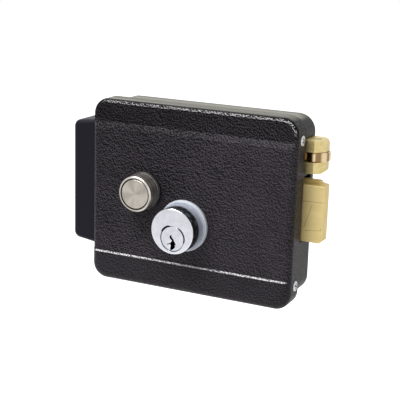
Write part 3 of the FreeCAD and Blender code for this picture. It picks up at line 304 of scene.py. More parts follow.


# the mask of the painted highlights along the crease and the rounded top edge
def makeEdgeLightMask(tree, place, paintedGlint, inward, onTop):
    axes = axesOf(tree, place)
    depth = mathNode(tree, "MULTIPLY", axes["Y"], -1.0)
    crease = mathNode(tree, "MULTIPLY", inBand(tree, axes["Z"], paintedEdgeLight["creaseLow"], paintedEdgeLight["creaseHigh"],
                                                  paintedEdgeLight["creaseSoft"]),
                      ramp(tree, depth, paintedEdgeLight["creaseFront"] - 0.1, paintedEdgeLight["creaseFront"]))
    across = ramp(tree, mathNode(tree, "ABSOLUTE", axes["X"]), paintedEdgeLight["sideEnd"],
                  paintedEdgeLight["sideEnd"] + paintedEdgeLight["sideFade"], 1.0, 0.0)
    crease = mathNode(tree, "MULTIPLY", crease, across)
    broken = ramp(tree, noiseOf(tree, place, paintedEdgeLight["grain"]), paintedEdgeLight["gapStart"], paintedEdgeLight["gapEnd"],
                  paintedEdgeLight["gapLeast"], 1.0)
    crease = mathNode(tree, "MULTIPLY", crease, broken)
    edge = mathNode(tree, "MULTIPLY", inBand(tree, inward, paintedEdgeLight["edgeStart"], paintedEdgeLight["edgeEnd"], paintedEdgeLight["edgeSoft"]),
                    mathNode(tree, "MULTIPLY", onTop, ramp(tree, axes["X"], paintedEdgeLight["leftFade"], paintedEdgeLight["leftFull"])))
    edge = mathNode(tree, "MULTIPLY", mathNode(tree, "MULTIPLY", edge, paintedGlint), paintedEdgeLight["edgeShare"])
    return mathNode(tree, "MAXIMUM", crease, edge)


def paintShadeOnCover(tree, place, tone):
    # painted shade: darker at the top strip and the upper left, flatter low down and far off
    height = axesOf(tree, place)["Z"]
    top = ramp(tree, height, paintedCoverShade["topStart"], paintedCoverShade["topEnd"], 0.0, paintedCoverShade["topLoss"])
    away = vectorMath(tree, "SUBTRACT", place, paintedCoverShade["corner"])
    distance = lengthOf(tree, away)
    corner = ramp(tree, distance, 0.0, paintedCoverShade["cornerReach"], paintedCoverShade["cornerLoss"], 0.0)
    low = ramp(tree, height, paintedCoverShade["lowEnd"], paintedCoverShade["lowStart"], 1.0, 0.0)
    flat = mathNode(tree, "MAXIMUM", mathNode(tree, "MULTIPLY", low, paintedCoverShade["lowFlat"]),
                    ramp(tree, distance, paintedCoverShade["farStart"], paintedCoverShade["farEnd"], 0.0, paintedCoverShade["farFlat"]))
    fromMiddle = mathNode(tree, "SUBTRACT", tone, paintedCoverShade["middle"])
    tone = mathNode(tree, "SUBTRACT", tone, mathNode(tree, "MULTIPLY", fromMiddle, flat))
    loss = mathNode(tree, "ADD", mathNode(tree, "ADD", top, corner),
                    mathNode(tree, "MULTIPLY", low, paintedCoverShade["lowLoss"]))
    return mathNode(tree, "MAXIMUM", mathNode(tree, "SUBTRACT", tone, loss), 0.0)


def makeEnamel(name, look, isCover):
    material, tree, shader, place = newFinish(name)
    skin = useGroup(tree, hammerSkin, {"Place": place, "Cell Size": look["cellSize"],
                                       "Wander": look["wander"]})
    blotch = useGroup(tree, patina, {"Place": place, "Size": look["blotchSize"]})
    share = look["blotchShare"]
    tone = mathNode(tree, "MULTIPLY_ADD", skin["Painted Shading"], 1 - share, mathNode(tree, "MULTIPLY", blotch["Slow"], share))
    if isCover:
        # painted shade across the front
        tone = paintShadeOnCover(tree, place, tone)
    # painted light and shade of the swellings, with random blotches, in the enamel colour
    colour = mixColour(tree, tone, linear(*look["sunk"]), linear(*look["raised"]))
    if isCover:
        # painted shade in a ring round each screw head, where the enamel is also broken
        mirrored = vectorMath(tree, "ABSOLUTE", place)
        away = vectorMath(tree, "SUBTRACT", mirrored, screwRingShade["place"])
        distance = lengthOf(tree, away)
        colour = mixColour(tree, ramp(tree, distance, screwRingShade["inner"], screwRingShade["outer"], 1.0, 0.0),
                           colour, linear(*screwRingShade["colour"]))
        inward, onTop = fromOutline(tree, place)
        # painted highlights, white along the crease and speckled along the top edge
        bright = makeEdgeLightMask(tree, place, skin["Painted Glint"], inward, onTop)
        colour = mixColour(tree, bright, colour, linear(*paintedEdgeLight["colour"]))
        # painted shade: a dark line along the very top edge
        dark = inBand(tree, inward, paintedEdgeLight["darkStart"], paintedEdgeLight["darkEnd"], paintedEdgeLight["darkSoft"])
        dark = mathNode(tree, "MULTIPLY", dark, onTop)
        colour = mixColour(tree, dark, colour, linear(*paintedEdgeLight["darkColour"]))
    # painted sheen on the walls that face up
    facing = axesOf(tree, addNode(tree, "ShaderNodeNewGeometry").outputs["True Normal"])["Z"]
    upward = ramp(tree, facing, topWallSheen["upStart"], topWallSheen["upEnd"])
    stripes = useGroup(tree, brushLines, {"Place": place, "Line Size": topWallSheen["lineSize"]})["Streak"]
    paintedTopSheen = mixColour(tree, stripes, linear(*topWallSheen["dark"]), linear(*topWallSheen["light"]))
    if isCover:
        # the painted highlight and shade lines along the edge stay clear of the painted top sheen
        upward = mathNode(tree, "MULTIPLY", upward, ramp(tree, inward, 0.02, 0.1, 1.0, 0.0))
    feed(tree, mixColour(tree, upward, colour, paintedTopSheen), shader.inputs["Base Color"])
    gloss = mathNode(tree, "MULTIPLY_ADD", blotch["Fast"], 0.1, look["roughness"])
    feed(tree, gloss, shader.inputs["Roughness"])
    shader.inputs["Specular IOR Level"].default_value = look["specular"]
    addBump(tree, shader, skin["Height"], look["depth"])
    return material


# smooth moulded plastic of the terminal cover

coverPlastic = {"colour": (7, 5, 19), "roughness": 0.4, "grain": 0.35, "specular": 0.18}


# wear and grain that every plastic piece shares
plasticWear = {"blotchSize": 10.0, "lighter": 1.5, "edgeWidth": 0.8, "edgeShare": 0.5, "blotchShare": 0.3,
               "roughnessSpread": 0.1, "grainDepth": 0.015}


def makePlastic(name, look):
    material, tree, shader, place = newFinish(name)
    blotch = useGroup(tree, patina, {"Place": place, "Size": plasticWear["blotchSize"]})
    base = Vector(linear(*look["colour"]))
    worn = tuple(min(part * plasticWear["lighter"], 1.0) for part in base[:3]) + (1.0,)
    edge = useGroup(tree, edgeMask, {"Width": plasticWear["edgeWidth"]})["Edge"]
    mask = mathNode(tree, "MULTIPLY_ADD", edge, plasticWear["edgeShare"],
                    mathNode(tree, "MULTIPLY", blotch["Slow"], plasticWear["blotchShare"]))
    feed(tree, mixColour(tree, mask, tuple(base), worn), shader.inputs["Base Color"])
    gloss = mathNode(tree, "MULTIPLY_ADD", blotch["Fast"], plasticWear["roughnessSpread"], look["roughness"])
    feed(tree, gloss, shader.inputs["Roughness"])
    grain = addNode(tree, "ShaderNodeTexNoise", {"Vector": place, "Scale": 1 / look["grain"],
                                                 "Detail": 2.0}).outputs["Fac"]
    addBump(tree, shader, grain, plasticWear["grainDepth"])
    shader.inputs["Specular IOR Level"].default_value = look["specular"]
    return material


# metals

def scribedLines(tree, place, lines, width, front):
    # thin straight scratches on the front face, each from one X and Z to another
    axes = axesOf(tree, place)
    flat = addNode(tree, "ShaderNodeCombineXYZ", {"X": axes["X"], "Y": axes["Z"]}).outputs[0]
    total = 0.0
    for startX, startZ, endX, endZ in lines:
        length = math.hypot(endX - startX, endZ - startZ)
        alongX, alongZ = (endX - startX) / length, (endZ - startZ) / length
        offset = vectorMath(tree, "SUBTRACT", flat, (startX, startZ, 0))
        along = addNode(tree, "ShaderNodeVectorMath", {0: offset, 1: (alongX, alongZ, 0)},
                        operation="DOT_PRODUCT").outputs["Value"]
        aside = addNode(tree, "ShaderNodeVectorMath", {0: offset, 1: (-alongZ, alongX, 0)},
                        operation="DOT_PRODUCT").outputs["Value"]
        thin = ramp(tree, mathNode(tree, "ABSOLUTE", aside), width * 0.4, width, 1.0, 0.0)
        total = mathNode(tree, "MAXIMUM", total, mathNode(tree, "MULTIPLY", thin, inBand(tree, along, 0, length, 0.3)))
    return mathNode(tree, "MULTIPLY", total, ramp(tree, axes["Y"], front + 0.3, front + 0.1))


# shares that every plain metal piece has in common
metalWear = {"lineShare": 0.45, "blotchShare": 0.55, "scratchShare": 0.6}


def makeMetal(name, look):
    # bright and dark parts by brush lines and blotches, with bright edges and, on some, scratches
    material, tree, shader, place = newFinish(name)
    shader.inputs["Metallic"].default_value = 1.0
    lines = useGroup(tree, brushLines, {"Place": place, "Stretch": look["stretch"],
                                        "Line Size": look["lineSize"]})
    blotch = useGroup(tree, patina, {"Place": place, "Size": look["blotchSize"]})
    edge = useGroup(tree, edgeMask, {"Width": look["edge"]})["Edge"]
    tone = mathNode(tree, "MULTIPLY_ADD", lines["Streak"], metalWear["lineShare"],
                    mathNode(tree, "MULTIPLY", blotch["Slow"], metalWear["blotchShare"]))
    worn = mathNode(tree, "MAXIMUM", tone, edge)
    colour = mixColour(tree, worn, linear(*look["dark"]), linear(*look["colour"]))
    if "scribes" in look:
        scratched = scribedLines(tree, place, look["scribes"], look["scribeWidth"], look["front"])
        scratched = mathNode(tree, "MULTIPLY", scratched, metalWear["scratchShare"])
        colour = mixColour(tree, scratched, colour, linear(*look["scratch"]))
    feed(tree, colour, shader.inputs["Base Color"])
    rough = mathNode(tree, "MULTIPLY_ADD", blotch["Fast"], look["roughnessSpread"], look["roughness"])
    feed(tree, rough, shader.inputs["Roughness"])
    addBump(tree, shader, lines["Height"], look["lineDepth"])
    return material


latchBrass = {"colour": (221, 202, 145), "dark": (212, 192, 136), "roughness": 0.5, "roughnessSpread": 0.08,
              "stretch": (0.2, 1.0, 1.0), "lineSize": 0.8, "lineDepth": 0.004, "blotchSize": 9.0, "edge": 0.3,
              "scribes": [(59.0, 6.5, 72.0, 6.9), (65.9, 5.0, 62.0, -7.7), (62.5, -9.4, 71.4, -8.4),
                          (71.4, -8.4, 71.5, -7.3)],
              "scribeWidth": 0.2, "scratch": (120, 102, 62), "front": -20.0}
triggerBrass = {"colour": (222, 204, 148), "dark": (204, 186, 128), "roughness": 0.34, "roughnessSpread": 0.1,
                "stretch": (0.3, 1.0, 1.0), "lineSize": 0.5, "lineDepth": 0.008, "blotchSize": 5.0, "edge": 0.35}
rollerBrass = {"place": (63.85, -10.8, 29.95), "light": (238, 214, 172), "dark": (150, 122, 84),
               "roughness": 0.2, "reflectionBands": 1.9, "rim": (92, 70, 42)}
zincPlate = {"colour": (212, 214, 218), "dark": (176, 178, 184), "roughness": 0.3, "roughnessSpread": 0.14,
             "stretch": (0.2, 1.0, 1.0), "lineSize": 0.25, "lineDepth": 0.006, "blotchSize": 5.0, "edge": 0.25}
springWire = {"colour": (190, 192, 198), "dark": (140, 142, 150), "roughness": 0.28, "roughnessSpread": 0.1,
              "stretch": (1.0, 1.0, 1.0), "lineSize": 0.4, "lineDepth": 0.004, "blotchSize": 3.0, "edge": 0.1}
softIron = {"colour": (138, 136, 136), "dark": (92, 90, 92), "roughness": 0.48, "roughnessSpread": 0.15,
            "stretch": (1.0, 0.1, 1.0), "lineSize": 0.35, "lineDepth": 0.012, "blotchSize": 4.0, "edge": 0.3}


def makeRollerBrass():
    # polished round its upright axis; its light and dark bands round the axis are painted reflections, and its edges
    # are darker
    material, tree, shader, place = newFinish("rollerBrass", rollerBrass["place"])
    shader.inputs["Metallic"].default_value = 1.0
    axes = axesOf(tree, place)
    angle = mathNode(tree, "ARCTAN2", axes["Y"], axes["X"])
    reflectionBands = ramp(tree, aroundNoise(tree, angle, rollerBrass["reflectionBands"]), 0.4, 0.6)
    colour = mixColour(tree, reflectionBands, linear(*rollerBrass["dark"]), linear(*rollerBrass["light"]))
    edge = useGroup(tree, edgeMask, {"Width": 0.35})["Edge"]
    colour = mixColour(tree, mathNode(tree, "MULTIPLY", edge, 0.7), colour, linear(*rollerBrass["rim"]))
    feed(tree, colour, shader.inputs["Base Color"])
    feed(tree, mathNode(tree, "MULTIPLY_ADD", reflectionBands, 0.06, rollerBrass["roughness"]), shader.inputs["Roughness"])
    lines = useGroup(tree, brushLines, {"Place": place, "Stretch": (0.1, 0.1, 1.0), "Line Size": 0.3})
    addBump(tree, shader, lines["Height"], 0.003)
    return material


# turned pieces, each with its place measured from the middle of its own front face

buttonCentre = (-27.3, -44.9, 3.4)
cylinderCentre = (-2.2, -48.6, -13.0)
plugCentre = (-1.9, -48.35, -17.0)


def aroundNoise(tree, angle, scale):
    # soft sectors round the axis, without a seam
    circle = addNode(tree, "ShaderNodeCombineXYZ", {"X": mathNode(tree, "COSINE", angle),
                                                    "Y": mathNode(tree, "SINE", angle)}).outputs[0]
    return addNode(tree, "ShaderNodeTexNoise", {"Vector": circle, "Scale": scale, "Detail": 1.0}).outputs["Fac"]


def alongNoise(tree, depth, size):
    row = addNode(tree, "ShaderNodeCombineXYZ", {"X": depth}).outputs[0]
    return noiseOf(tree, row, size)


bezelLook = {"rim": (196, 190, 182), "light": (138, 133, 127), "dark": (40, 38, 37), "base": (34, 33, 32),
             "groove": (48, 45, 42), "grooveStart": 8.2, "grooveEnd": 8.75,
             "grooveSize": 1.5, "sideStart": 0.6, "baseStart": 8.6, "sideMetal": 0.4}


def makeBezelSteel():
    material, tree, shader, place = newFinish("bezelSteel", buttonCentre)
    shader.inputs["Metallic"].default_value = 1.0
    rings = useGroup(tree, turnedRings, {"Place": place, "Ring Pitch": 0.3})
    depth = axesOf(tree, place)["Y"]
    # painted reflections on the polished side: light and dark bands along its depth and in sectors round the axis
    grooves = ramp(tree, alongNoise(tree, depth, bezelLook["grooveSize"]), 0.4, 0.6)
    reflectionSectors = ramp(tree, aroundNoise(tree, rings["Angle"], 1.3), 0.35, 0.65)
    tone = mathNode(tree, "MULTIPLY_ADD", grooves, 0.55, mathNode(tree, "MULTIPLY", reflectionSectors, 0.45))
    side = mixColour(tree, tone, linear(*bezelLook["dark"]), linear(*bezelLook["light"]))
    # painted shade at the foot of the side
    side = mixColour(tree, ramp(tree, depth, bezelLook["baseStart"] - 0.3, bezelLook["baseStart"]), side,
                     linear(*bezelLook["base"]))
    onSide = ramp(tree, depth, bezelLook["sideStart"], bezelLook["sideStart"] + 0.4)
    # painted shade in the gap between the button and the rim
    groove = inBand(tree, rings["Radius"], bezelLook["grooveStart"], bezelLook["grooveEnd"], 0.1)
    rim = mixColour(tree, groove, linear(*bezelLook["rim"]), linear(*bezelLook["groove"]))
    feed(tree, mixColour(tree, onSide, rim, side), shader.inputs["Base Color"])
    feed(tree, mathNode(tree, "MULTIPLY_ADD", onSide, bezelLook["sideMetal"] - 1, 1.0), shader.inputs["Metallic"])
    rough = mathNode(tree, "MULTIPLY_ADD", onSide, 0.12, 0.28)
    feed(tree, mathNode(tree, "MULTIPLY_ADD", rings["Ring"], 0.1, rough), shader.inputs["Roughness"])
    addBump(tree, shader, rings["Ring"], 0.015)
    return material


buttonLook = {"light": (197, 190, 181), "dark": (152, 145, 137), "reflectionSectors": 0.85}


def makeButtonSteel():
    material, tree, shader, place = newFinish("buttonSteel", buttonCentre)
    shader.inputs["Metallic"].default_value = 1.0
    rings = useGroup(tree, turnedRings, {"Place": place, "Ring Pitch": 0.12})
    blotch = useGroup(tree, patina, {"Place": place, "Size": 5.0})
    # painted reflections of the spun finish: light and dark sectors round the axis, with random blotches
    reflectionSectors = ramp(tree, aroundNoise(tree, rings["Angle"], buttonLook["reflectionSectors"]), 0.32, 0.68)
    tone = mathNode(tree, "MULTIPLY_ADD", reflectionSectors, 0.7, mathNode(tree, "MULTIPLY", blotch["Slow"], 0.3))
    feed(tree, mixColour(tree, tone, linear(*buttonLook["dark"]), linear(*buttonLook["light"])),
         shader.inputs["Base Color"])
    feed(tree, mathNode(tree, "MULTIPLY_ADD", rings["Ring"], 0.14, 0.3), shader.inputs["Roughness"])
    addBump(tree, shader, rings["Ring"], 0.006)
    return material


cylinderLook = {"light": (216, 217, 223), "dark": (203, 205, 212), "sideLight": (118, 121, 128),
                "sideDark": (20, 22, 26), "sideStart": 0.9, "mottle": 2.2, "base": (196, 201, 212),
                "baseStart": 6.6, "plugX": 0.3, "plugZ": -4.0, "plugRadius": 7.1, "gapWidth": 0.45, "gap": (34, 36, 42),
                "crescents": [(128, 30, 10), (25, 45, 15)], "sideMetal": 0.35}


def makeCylinderChrome():
    material, tree, shader, place = newFinish("cylinderChrome", cylinderCentre)
    shader.inputs["Metallic"].default_value = 1.0
    rings = useGroup(tree, turnedRings, {"Place": place, "Ring Pitch": 0.8})
    blotch = useGroup(tree, patina, {"Place": place, "Size": 4.0})
    face = mixColour(tree, blotch["Slow"], linear(*cylinderLook["dark"]), linear(*cylinderLook["light"]))
    # painted shade in the gap round the plug, wider where the plug's edge is turned away
    fromPlug = vectorMath(tree, "SUBTRACT", place, (cylinderLook["plugX"], 0, cylinderLook["plugZ"]))
    plugRings = useGroup(tree, turnedRings, {"Place": fromPlug})
    gap = mathNode(tree, "ABSOLUTE", mathNode(tree, "SUBTRACT", plugRings["Radius"],
                                              cylinderLook["plugRadius"] + 0.15))
    wide = 0.0
    for middle, outer, inner in cylinderLook["crescents"]:
        turned = mathNode(tree, "SUBTRACT", plugRings["Angle"], math.radians(middle))
        crescent = ramp(tree, mathNode(tree, "COSINE", turned), math.cos(math.radians(outer)),
                        math.cos(math.radians(inner)))
        wide = mathNode(tree, "MAXIMUM", wide, crescent)
    reach = mathNode(tree, "MULTIPLY", wide, cylinderLook["gapWidth"])
    gapMask = mathNode(tree, "LESS_THAN", gap, reach)
    face = mixColour(tree, gapMask, face, linear(*cylinderLook["gap"]))
    depth = axesOf(tree, place)["Y"]
    # painted reflection and shade on the polished side: dark, lighter on its upper side and in blotches
    mottle = ramp(tree, noiseOf(tree, place, cylinderLook["mottle"], 2.5), 0.45, 0.62)
    above = ramp(tree, mathNode(tree, "SINE", rings["Angle"]), 0.1, 0.9)
    tone = mathNode(tree, "MULTIPLY", mottle, mathNode(tree, "MULTIPLY_ADD", above, 0.75, 0.25))
    side = mixColour(tree, tone, linear(*cylinderLook["sideDark"]), linear(*cylinderLook["sideLight"]))
    # a painted reflection of the pale collar on the polished side towards its foot
    side = mixColour(tree, ramp(tree, depth, cylinderLook["baseStart"], cylinderLook["baseStart"] + 1.5), side,
                     linear(*cylinderLook["base"]))
    onSide = ramp(tree, depth, cylinderLook["sideStart"], cylinderLook["sideStart"] + 0.3)
    feed(tree, mixColour(tree, onSide, face, side), shader.inputs["Base Color"])
    feed(tree, mathNode(tree, "MULTIPLY_ADD", onSide, cylinderLook["sideMetal"] - 1, 1.0), shader.inputs["Metallic"])
    feed(tree, mathNode(tree, "MULTIPLY_ADD", onSide, 0.2, 0.12), shader.inputs["Roughness"])
    addBump(tree, shader, rings["Ring"], 0.004)
    return material


plugLook = {"light": (214, 215, 221), "dark": (198, 200, 207), "inside": (5, 5, 7), "insideStart": 0.3,
            "edge": (176, 178, 184), "edgeStart": 6.5, "wards": [(-2.9, -3.4, -1.0, -2.65), (1.2, -2.1, 2.1, -3.1)]}


def makePlugNickel():
    material, tree, shader, place = newFinish("plugNickel", plugCentre)
    shader.inputs["Metallic"].default_value = 1.0
    rings = useGroup(tree, turnedRings, {"Place": place, "Ring Pitch": 0.3})
    blotch = useGroup(tree, patina, {"Place": place, "Size": 3.0})
    colour = mixColour(tree, blotch["Slow"], linear(*plugLook["dark"]), linear(*plugLook["light"]))
    colour = mixColour(tree, ramp(tree, rings["Radius"], plugLook["edgeStart"], plugLook["edgeStart"] + 0.5), colour,
                       linear(*plugLook["edge"]))
    # painted shade down in the keyway and along the edges of the wards
    depth = axesOf(tree, place)["Y"]
    inside = mathNode(tree, "MULTIPLY", ramp(tree, depth, plugLook["insideStart"], plugLook["insideStart"] + 0.3),
                      ramp(tree, rings["Radius"], 6.8, 6.9, 1.0, 0.0))
    inside = mathNode(tree, "MAXIMUM", inside, scribedLines(tree, place, plugLook["wards"], 0.35, 0.0))
    feed(tree, mixColour(tree, inside, colour, linear(*plugLook["inside"])), shader.inputs["Base Color"])
    feed(tree, mathNode(tree, "MULTIPLY_ADD", rings["Ring"], 0.08, 0.14), shader.inputs["Roughness"])
    addBump(tree, shader, rings["Ring"], 0.005)
    return material


collarLook = {"light": (196, 201, 212), "dark": (181, 187, 200), "bevel": (212, 216, 224), "bevelStart": 13.5}


def makeCollarSatin():
    material, tree, shader, place = newFinish("collarSatin", cylinderCentre)
    shader.inputs["Metallic"].default_value = 0.05
    rings = useGroup(tree, turnedRings, {"Place": place, "Ring Pitch": 0.5})
    blotch = useGroup(tree, patina, {"Place": place, "Size": 6.0})
    colour = mixColour(tree, blotch["Slow"], linear(*collarLook["dark"]), linear(*collarLook["light"]))
    # painted highlight on the outer bevel
    colour = mixColour(tree, ramp(tree, rings["Radius"], collarLook["bevelStart"], collarLook["bevelStart"] + 0.4),
                       colour, linear(*collarLook["bevel"]))
    feed(tree, colour, shader.inputs["Base Color"])
    feed(tree, mathNode(tree, "MULTIPLY_ADD", blotch["Fast"], 0.1, 0.5), shader.inputs["Roughness"])
    addBump(tree, shader, rings["Ring"], 0.006)
    return material


copperTurns = {"colour": (206, 120, 66), "dark": (150, 74, 38), "roughness": 0.3, "roughnessSpread": 0.1,
               "stretch": (1.0, 1.0, 1.0), "lineSize": 0.5, "lineDepth": 0.004, "blotchSize": 3.0, "edge": 0.1}
bobbinNylon = {"colour": (226, 220, 204), "roughness": 0.4, "grain": 0.6, "specular": 0.5}
terminalPlastic = {"colour": (222, 222, 216), "roughness": 0.32, "grain": 0.6, "specular": 0.5}
wireSleeve = {"colour": (150, 26, 24), "roughness": 0.45, "grain": 0.5, "specular": 0.5}

screwZinc = {"colour": (232, 233, 236), "dark": (198, 200, 204), "inside": (8, 8, 10), "faceStart": 60.45,
             "faceEnd": 60.7, "roughness": 0.3, "grain": 0.9}


def makeScrewZinc():
    # bright on the domed heads, with painted shade down in the cross, by the place along X
    material, tree, shader, place = newFinish("screwZinc")
    shader.inputs["Metallic"].default_value = 0.7
    grain = noiseOf(tree, place, screwZinc["grain"])
    colour = mixColour(tree, ramp(tree, grain, 0.4, 0.6), linear(*screwZinc["dark"]), linear(*screwZinc["colour"]))
    out = mathNode(tree, "ABSOLUTE", axesOf(tree, place)["X"])
    onFace = ramp(tree, out, screwZinc["faceStart"], screwZinc["faceEnd"])
    feed(tree, mixColour(tree, onFace, linear(*screwZinc["inside"]), colour), shader.inputs["Base Color"])
    feed(tree, mathNode(tree, "MULTIPLY_ADD", grain, 0.1, screwZinc["roughness"]), shader.inputs["Roughness"])
    addBump(tree, shader, grain, 0.01)
    return material


finishes = {
    "front_cover": makeEnamel("coverEnamel", coverEnamel, True),
    "lock_case": makeEnamel("caseEnamel", caseEnamel, False),
    "terminal_cover": makePlastic("coverPlastic", coverPlastic),
    "button_bezel": makeBezelSteel(),
    "push_button": makeButtonSteel(),
    "cylinder_body": makeCylinderChrome(),
    "cylinder_collar": makeCollarSatin(),
    "cylinder_plug": makePlugNickel(),
    "roller": makeRollerBrass(),
    "terminal_block": makePlastic("terminalPlastic", terminalPlastic),
    "lead_wires": makePlastic("wireSleeve", wireSleeve),
}
finishes["trigger_bolt"] = makeMetal("triggerBrass", triggerBrass)
zinc = makeMetal("zincPlate", zincPlate)
wire = makeMetal("springWire", springWire)
iron = makeMetal("softIron", softIron)
copper = makeMetal("copperTurns", copperTurns)
nylon = makePlastic("bobbinNylon", bobbinNylon)
finishes["latch_bolt"] = makeMetal("latchBrass", latchBrass)
finishes["cover_screws"] = makeScrewZinc()
for finish, nodes in (
        (wire, ("latch_spring", "trigger_spring", "button_spring", "armature_spring", "button_clip")),
        (iron, ("solenoid_yoke", "core_left", "core_right", "armature")),
        (copper, ("winding_left", "winding_right")),
        (nylon, ("bobbin_left", "bobbin_right"))):
    for node in nodes:
        finishes[node] = finish
print("finishes mixed:", len(finishes) + 1)

# pieces that repeat are grown by Geometry Nodes and kept as plain meshes

def geometryTree(name, inputs):
    tree = bpy.data.node_groups.new(name, "GeometryNodeTree")
    for label, kind in inputs:
        tree.interface.new_socket(label, in_out="INPUT", socket_type="NodeSocket" + kind)
    tree.interface.new_socket("Geometry", in_out="OUTPUT", socket_type="NodeSocketGeometry")
    return tree, tree.nodes.new("NodeGroupInput").outputs, tree.nodes.new("NodeGroupOutput").inputs


def growPiece(name, tree, settings):
    piece = bpy.data.objects.new(name, bpy.data.meshes.new(name + "Start"))
    bpy.context.scene.collection.objects.link(piece)
    grower = piece.modifiers.new("grow", "NODES")
    grower.node_group = tree
    for item in tree.interface.items_tree:
        if item.in_out == "INPUT":
            grower[item.identifier] = settings[item.name]
    ready = piece.evaluated_get(bpy.context.evaluated_depsgraph_get())
    grown = bpy.data.meshes.new_from_object(ready)
    piece.modifiers.clear()
    piece.data = grown
    grown.name = name
    return piece


def moved(tree, geometry, **sockets):
    names = {key.capitalize(): value for key, value in sockets.items()}
    return addNode(tree, "GeometryNodeTransform", {"Geometry": geometry, **names}).outputs[0]


def vectorOf(tree, x=0.0, y=0.0, z=0.0):
    return addNode(tree, "ShaderNodeCombineXYZ", {"X": x, "Y": y, "Z": z}).outputs[0]


def smoothed(tree, geometry, sharpAngle):
    # round faces are smooth, and edges sharper than the angle stay crisp
    smooth = addNode(tree, "GeometryNodeSetShadeSmooth", {0: geometry}).outputs[0]
    angle = addNode(tree, "GeometryNodeInputMeshEdgeAngle").outputs["Unsigned Angle"]
    sharp = mathNode(tree, "GREATER_THAN", angle, sharpAngle)
    return addNode(tree, "GeometryNodeSetShadeSmooth", {0: smooth, 1: sharp, 2: False}, domain="EDGE").outputs[0]


def finished(tree, result, instances, finish):
    real = addNode(tree, "GeometryNodeRealizeInstances", {0: instances}).outputs[0]
    feed(tree, addNode(tree, "GeometryNodeSetMaterial", {"Geometry": real, "Material": finish}).outputs[0],
         result["Geometry"])


def makeScrewTree():
    # sunk screws with a domed head and a pressed cross, one at each corner, facing outwards in X
    tree, given, result = geometryTree("setScrews", [
        ("Half Width", "Float"), ("Half Height", "Float"), ("Depth", "Float"), ("Head Radius", "Float"),
        ("Neck Radius", "Float"), ("Sink", "Float"), ("Shank Radius", "Float"), ("Length", "Float"),
        ("Dome", "Float"), ("Cross Arm", "Float"), ("Cross Width", "Float"), ("Cross Depth", "Float"),
        ("Seed", "Int"), ("Finish", "Material")])
    down = mathNode(tree, "MULTIPLY", given["Sink"], -1.0)
    cone = addNode(tree, "GeometryNodeMeshCone", {
        "Vertices": 48, "Radius Top": given["Head Radius"], "Radius Bottom": given["Neck Radius"],
        "Depth": given["Sink"]}).outputs["Mesh"]
    cone = moved(tree, cone, translation=vectorOf(tree, z=down))
    shankLength = mathNode(tree, "MULTIPLY_ADD", given["Sink"], -0.5, given["Length"])
    shank = addNode(tree, "GeometryNodeMeshCylinder", {
        "Vertices": 32, "Radius": given["Shank Radius"], "Depth": shankLength}).outputs["Mesh"]
    middle = mathNode(tree, "MULTIPLY", mathNode(tree, "MULTIPLY_ADD", given["Sink"], 0.5, given["Length"]), -0.5)
    shank = moved(tree, shank, translation=vectorOf(tree, z=middle))
    ball = addNode(tree, "GeometryNodeMeshUVSphere", {
        "Segments": 48, "Rings": 24, "Radius": given["Head Radius"]}).outputs["Mesh"]
    flatness = mathNode(tree, "DIVIDE", given["Dome"], given["Head Radius"])
    ball = moved(tree, ball, scale=vectorOf(tree, 0.99, 0.99, flatness))
    solid = tree.nodes.new("GeometryNodeMeshBoolean")
    solid.operation = "UNION"
    for part in (cone, shank, ball):
        feed(tree, part, solid.inputs[1])
    span = mathNode(tree, "MULTIPLY", given["Cross Arm"], 2.0)
    drop = mathNode(tree, "MULTIPLY", given["Cross Depth"], 2.0)
    cut = tree.nodes.new("GeometryNodeMeshBoolean")
    cut.operation = "DIFFERENCE"
    feed(tree, solid.outputs[0], cut.inputs[0])
    for size in (vectorOf(tree, span, given["Cross Width"], drop), vectorOf(tree, given["Cross Width"], span, drop)):
        feed(tree, addNode(tree, "GeometryNodeMeshCube", {"Size": size}).outputs["Mesh"], cut.inputs[1])
    screw = smoothed(tree, cut.outputs[0], 0.5)
    corners = addNode(tree, "GeometryNodeMeshGrid", {
        "Size X": mathNode(tree, "MULTIPLY", given["Half Width"], 2.0),
        "Size Y": mathNode(tree, "MULTIPLY", given["Half Height"], 2.0),
        "Vertices X": 2, "Vertices Y": 2}).outputs["Mesh"]
    forward = mathNode(tree, "MULTIPLY", given["Depth"], -1.0)
    corners = moved(tree, corners, translation=vectorOf(tree, y=forward), rotation=(math.pi / 2, 0, 0))
    spot = addNode(tree, "GeometryNodeInputPosition").outputs[0]
    outward = vectorOf(tree, x=mathNode(tree, "SIGN", axesOf(tree, spot)["X"]))
    facing = addNode(tree, "FunctionNodeAlignRotationToVector", {"Vector": outward}, axis="Z").outputs[0]
    chance = addNode(tree, "FunctionNodeRandomValue", {2: 0.0, 3: math.pi, 8: given["Seed"]}, data_type="FLOAT")
    turn = addNode(tree, "FunctionNodeAxisAngleToRotation", {"Axis": (0, 0, 1), "Angle": chance.outputs[1]}).outputs[0]
    turned = addNode(tree, "FunctionNodeRotateRotation", {"Rotation": facing, "Rotate By": turn},
                     rotation_space="LOCAL").outputs[0]
    placed = addNode(tree, "GeometryNodeInstanceOnPoints",
                     {"Points": corners, "Instance": screw, "Rotation": turned}).outputs[0]
    finished(tree, result, placed, given["Finish"])
    return tree


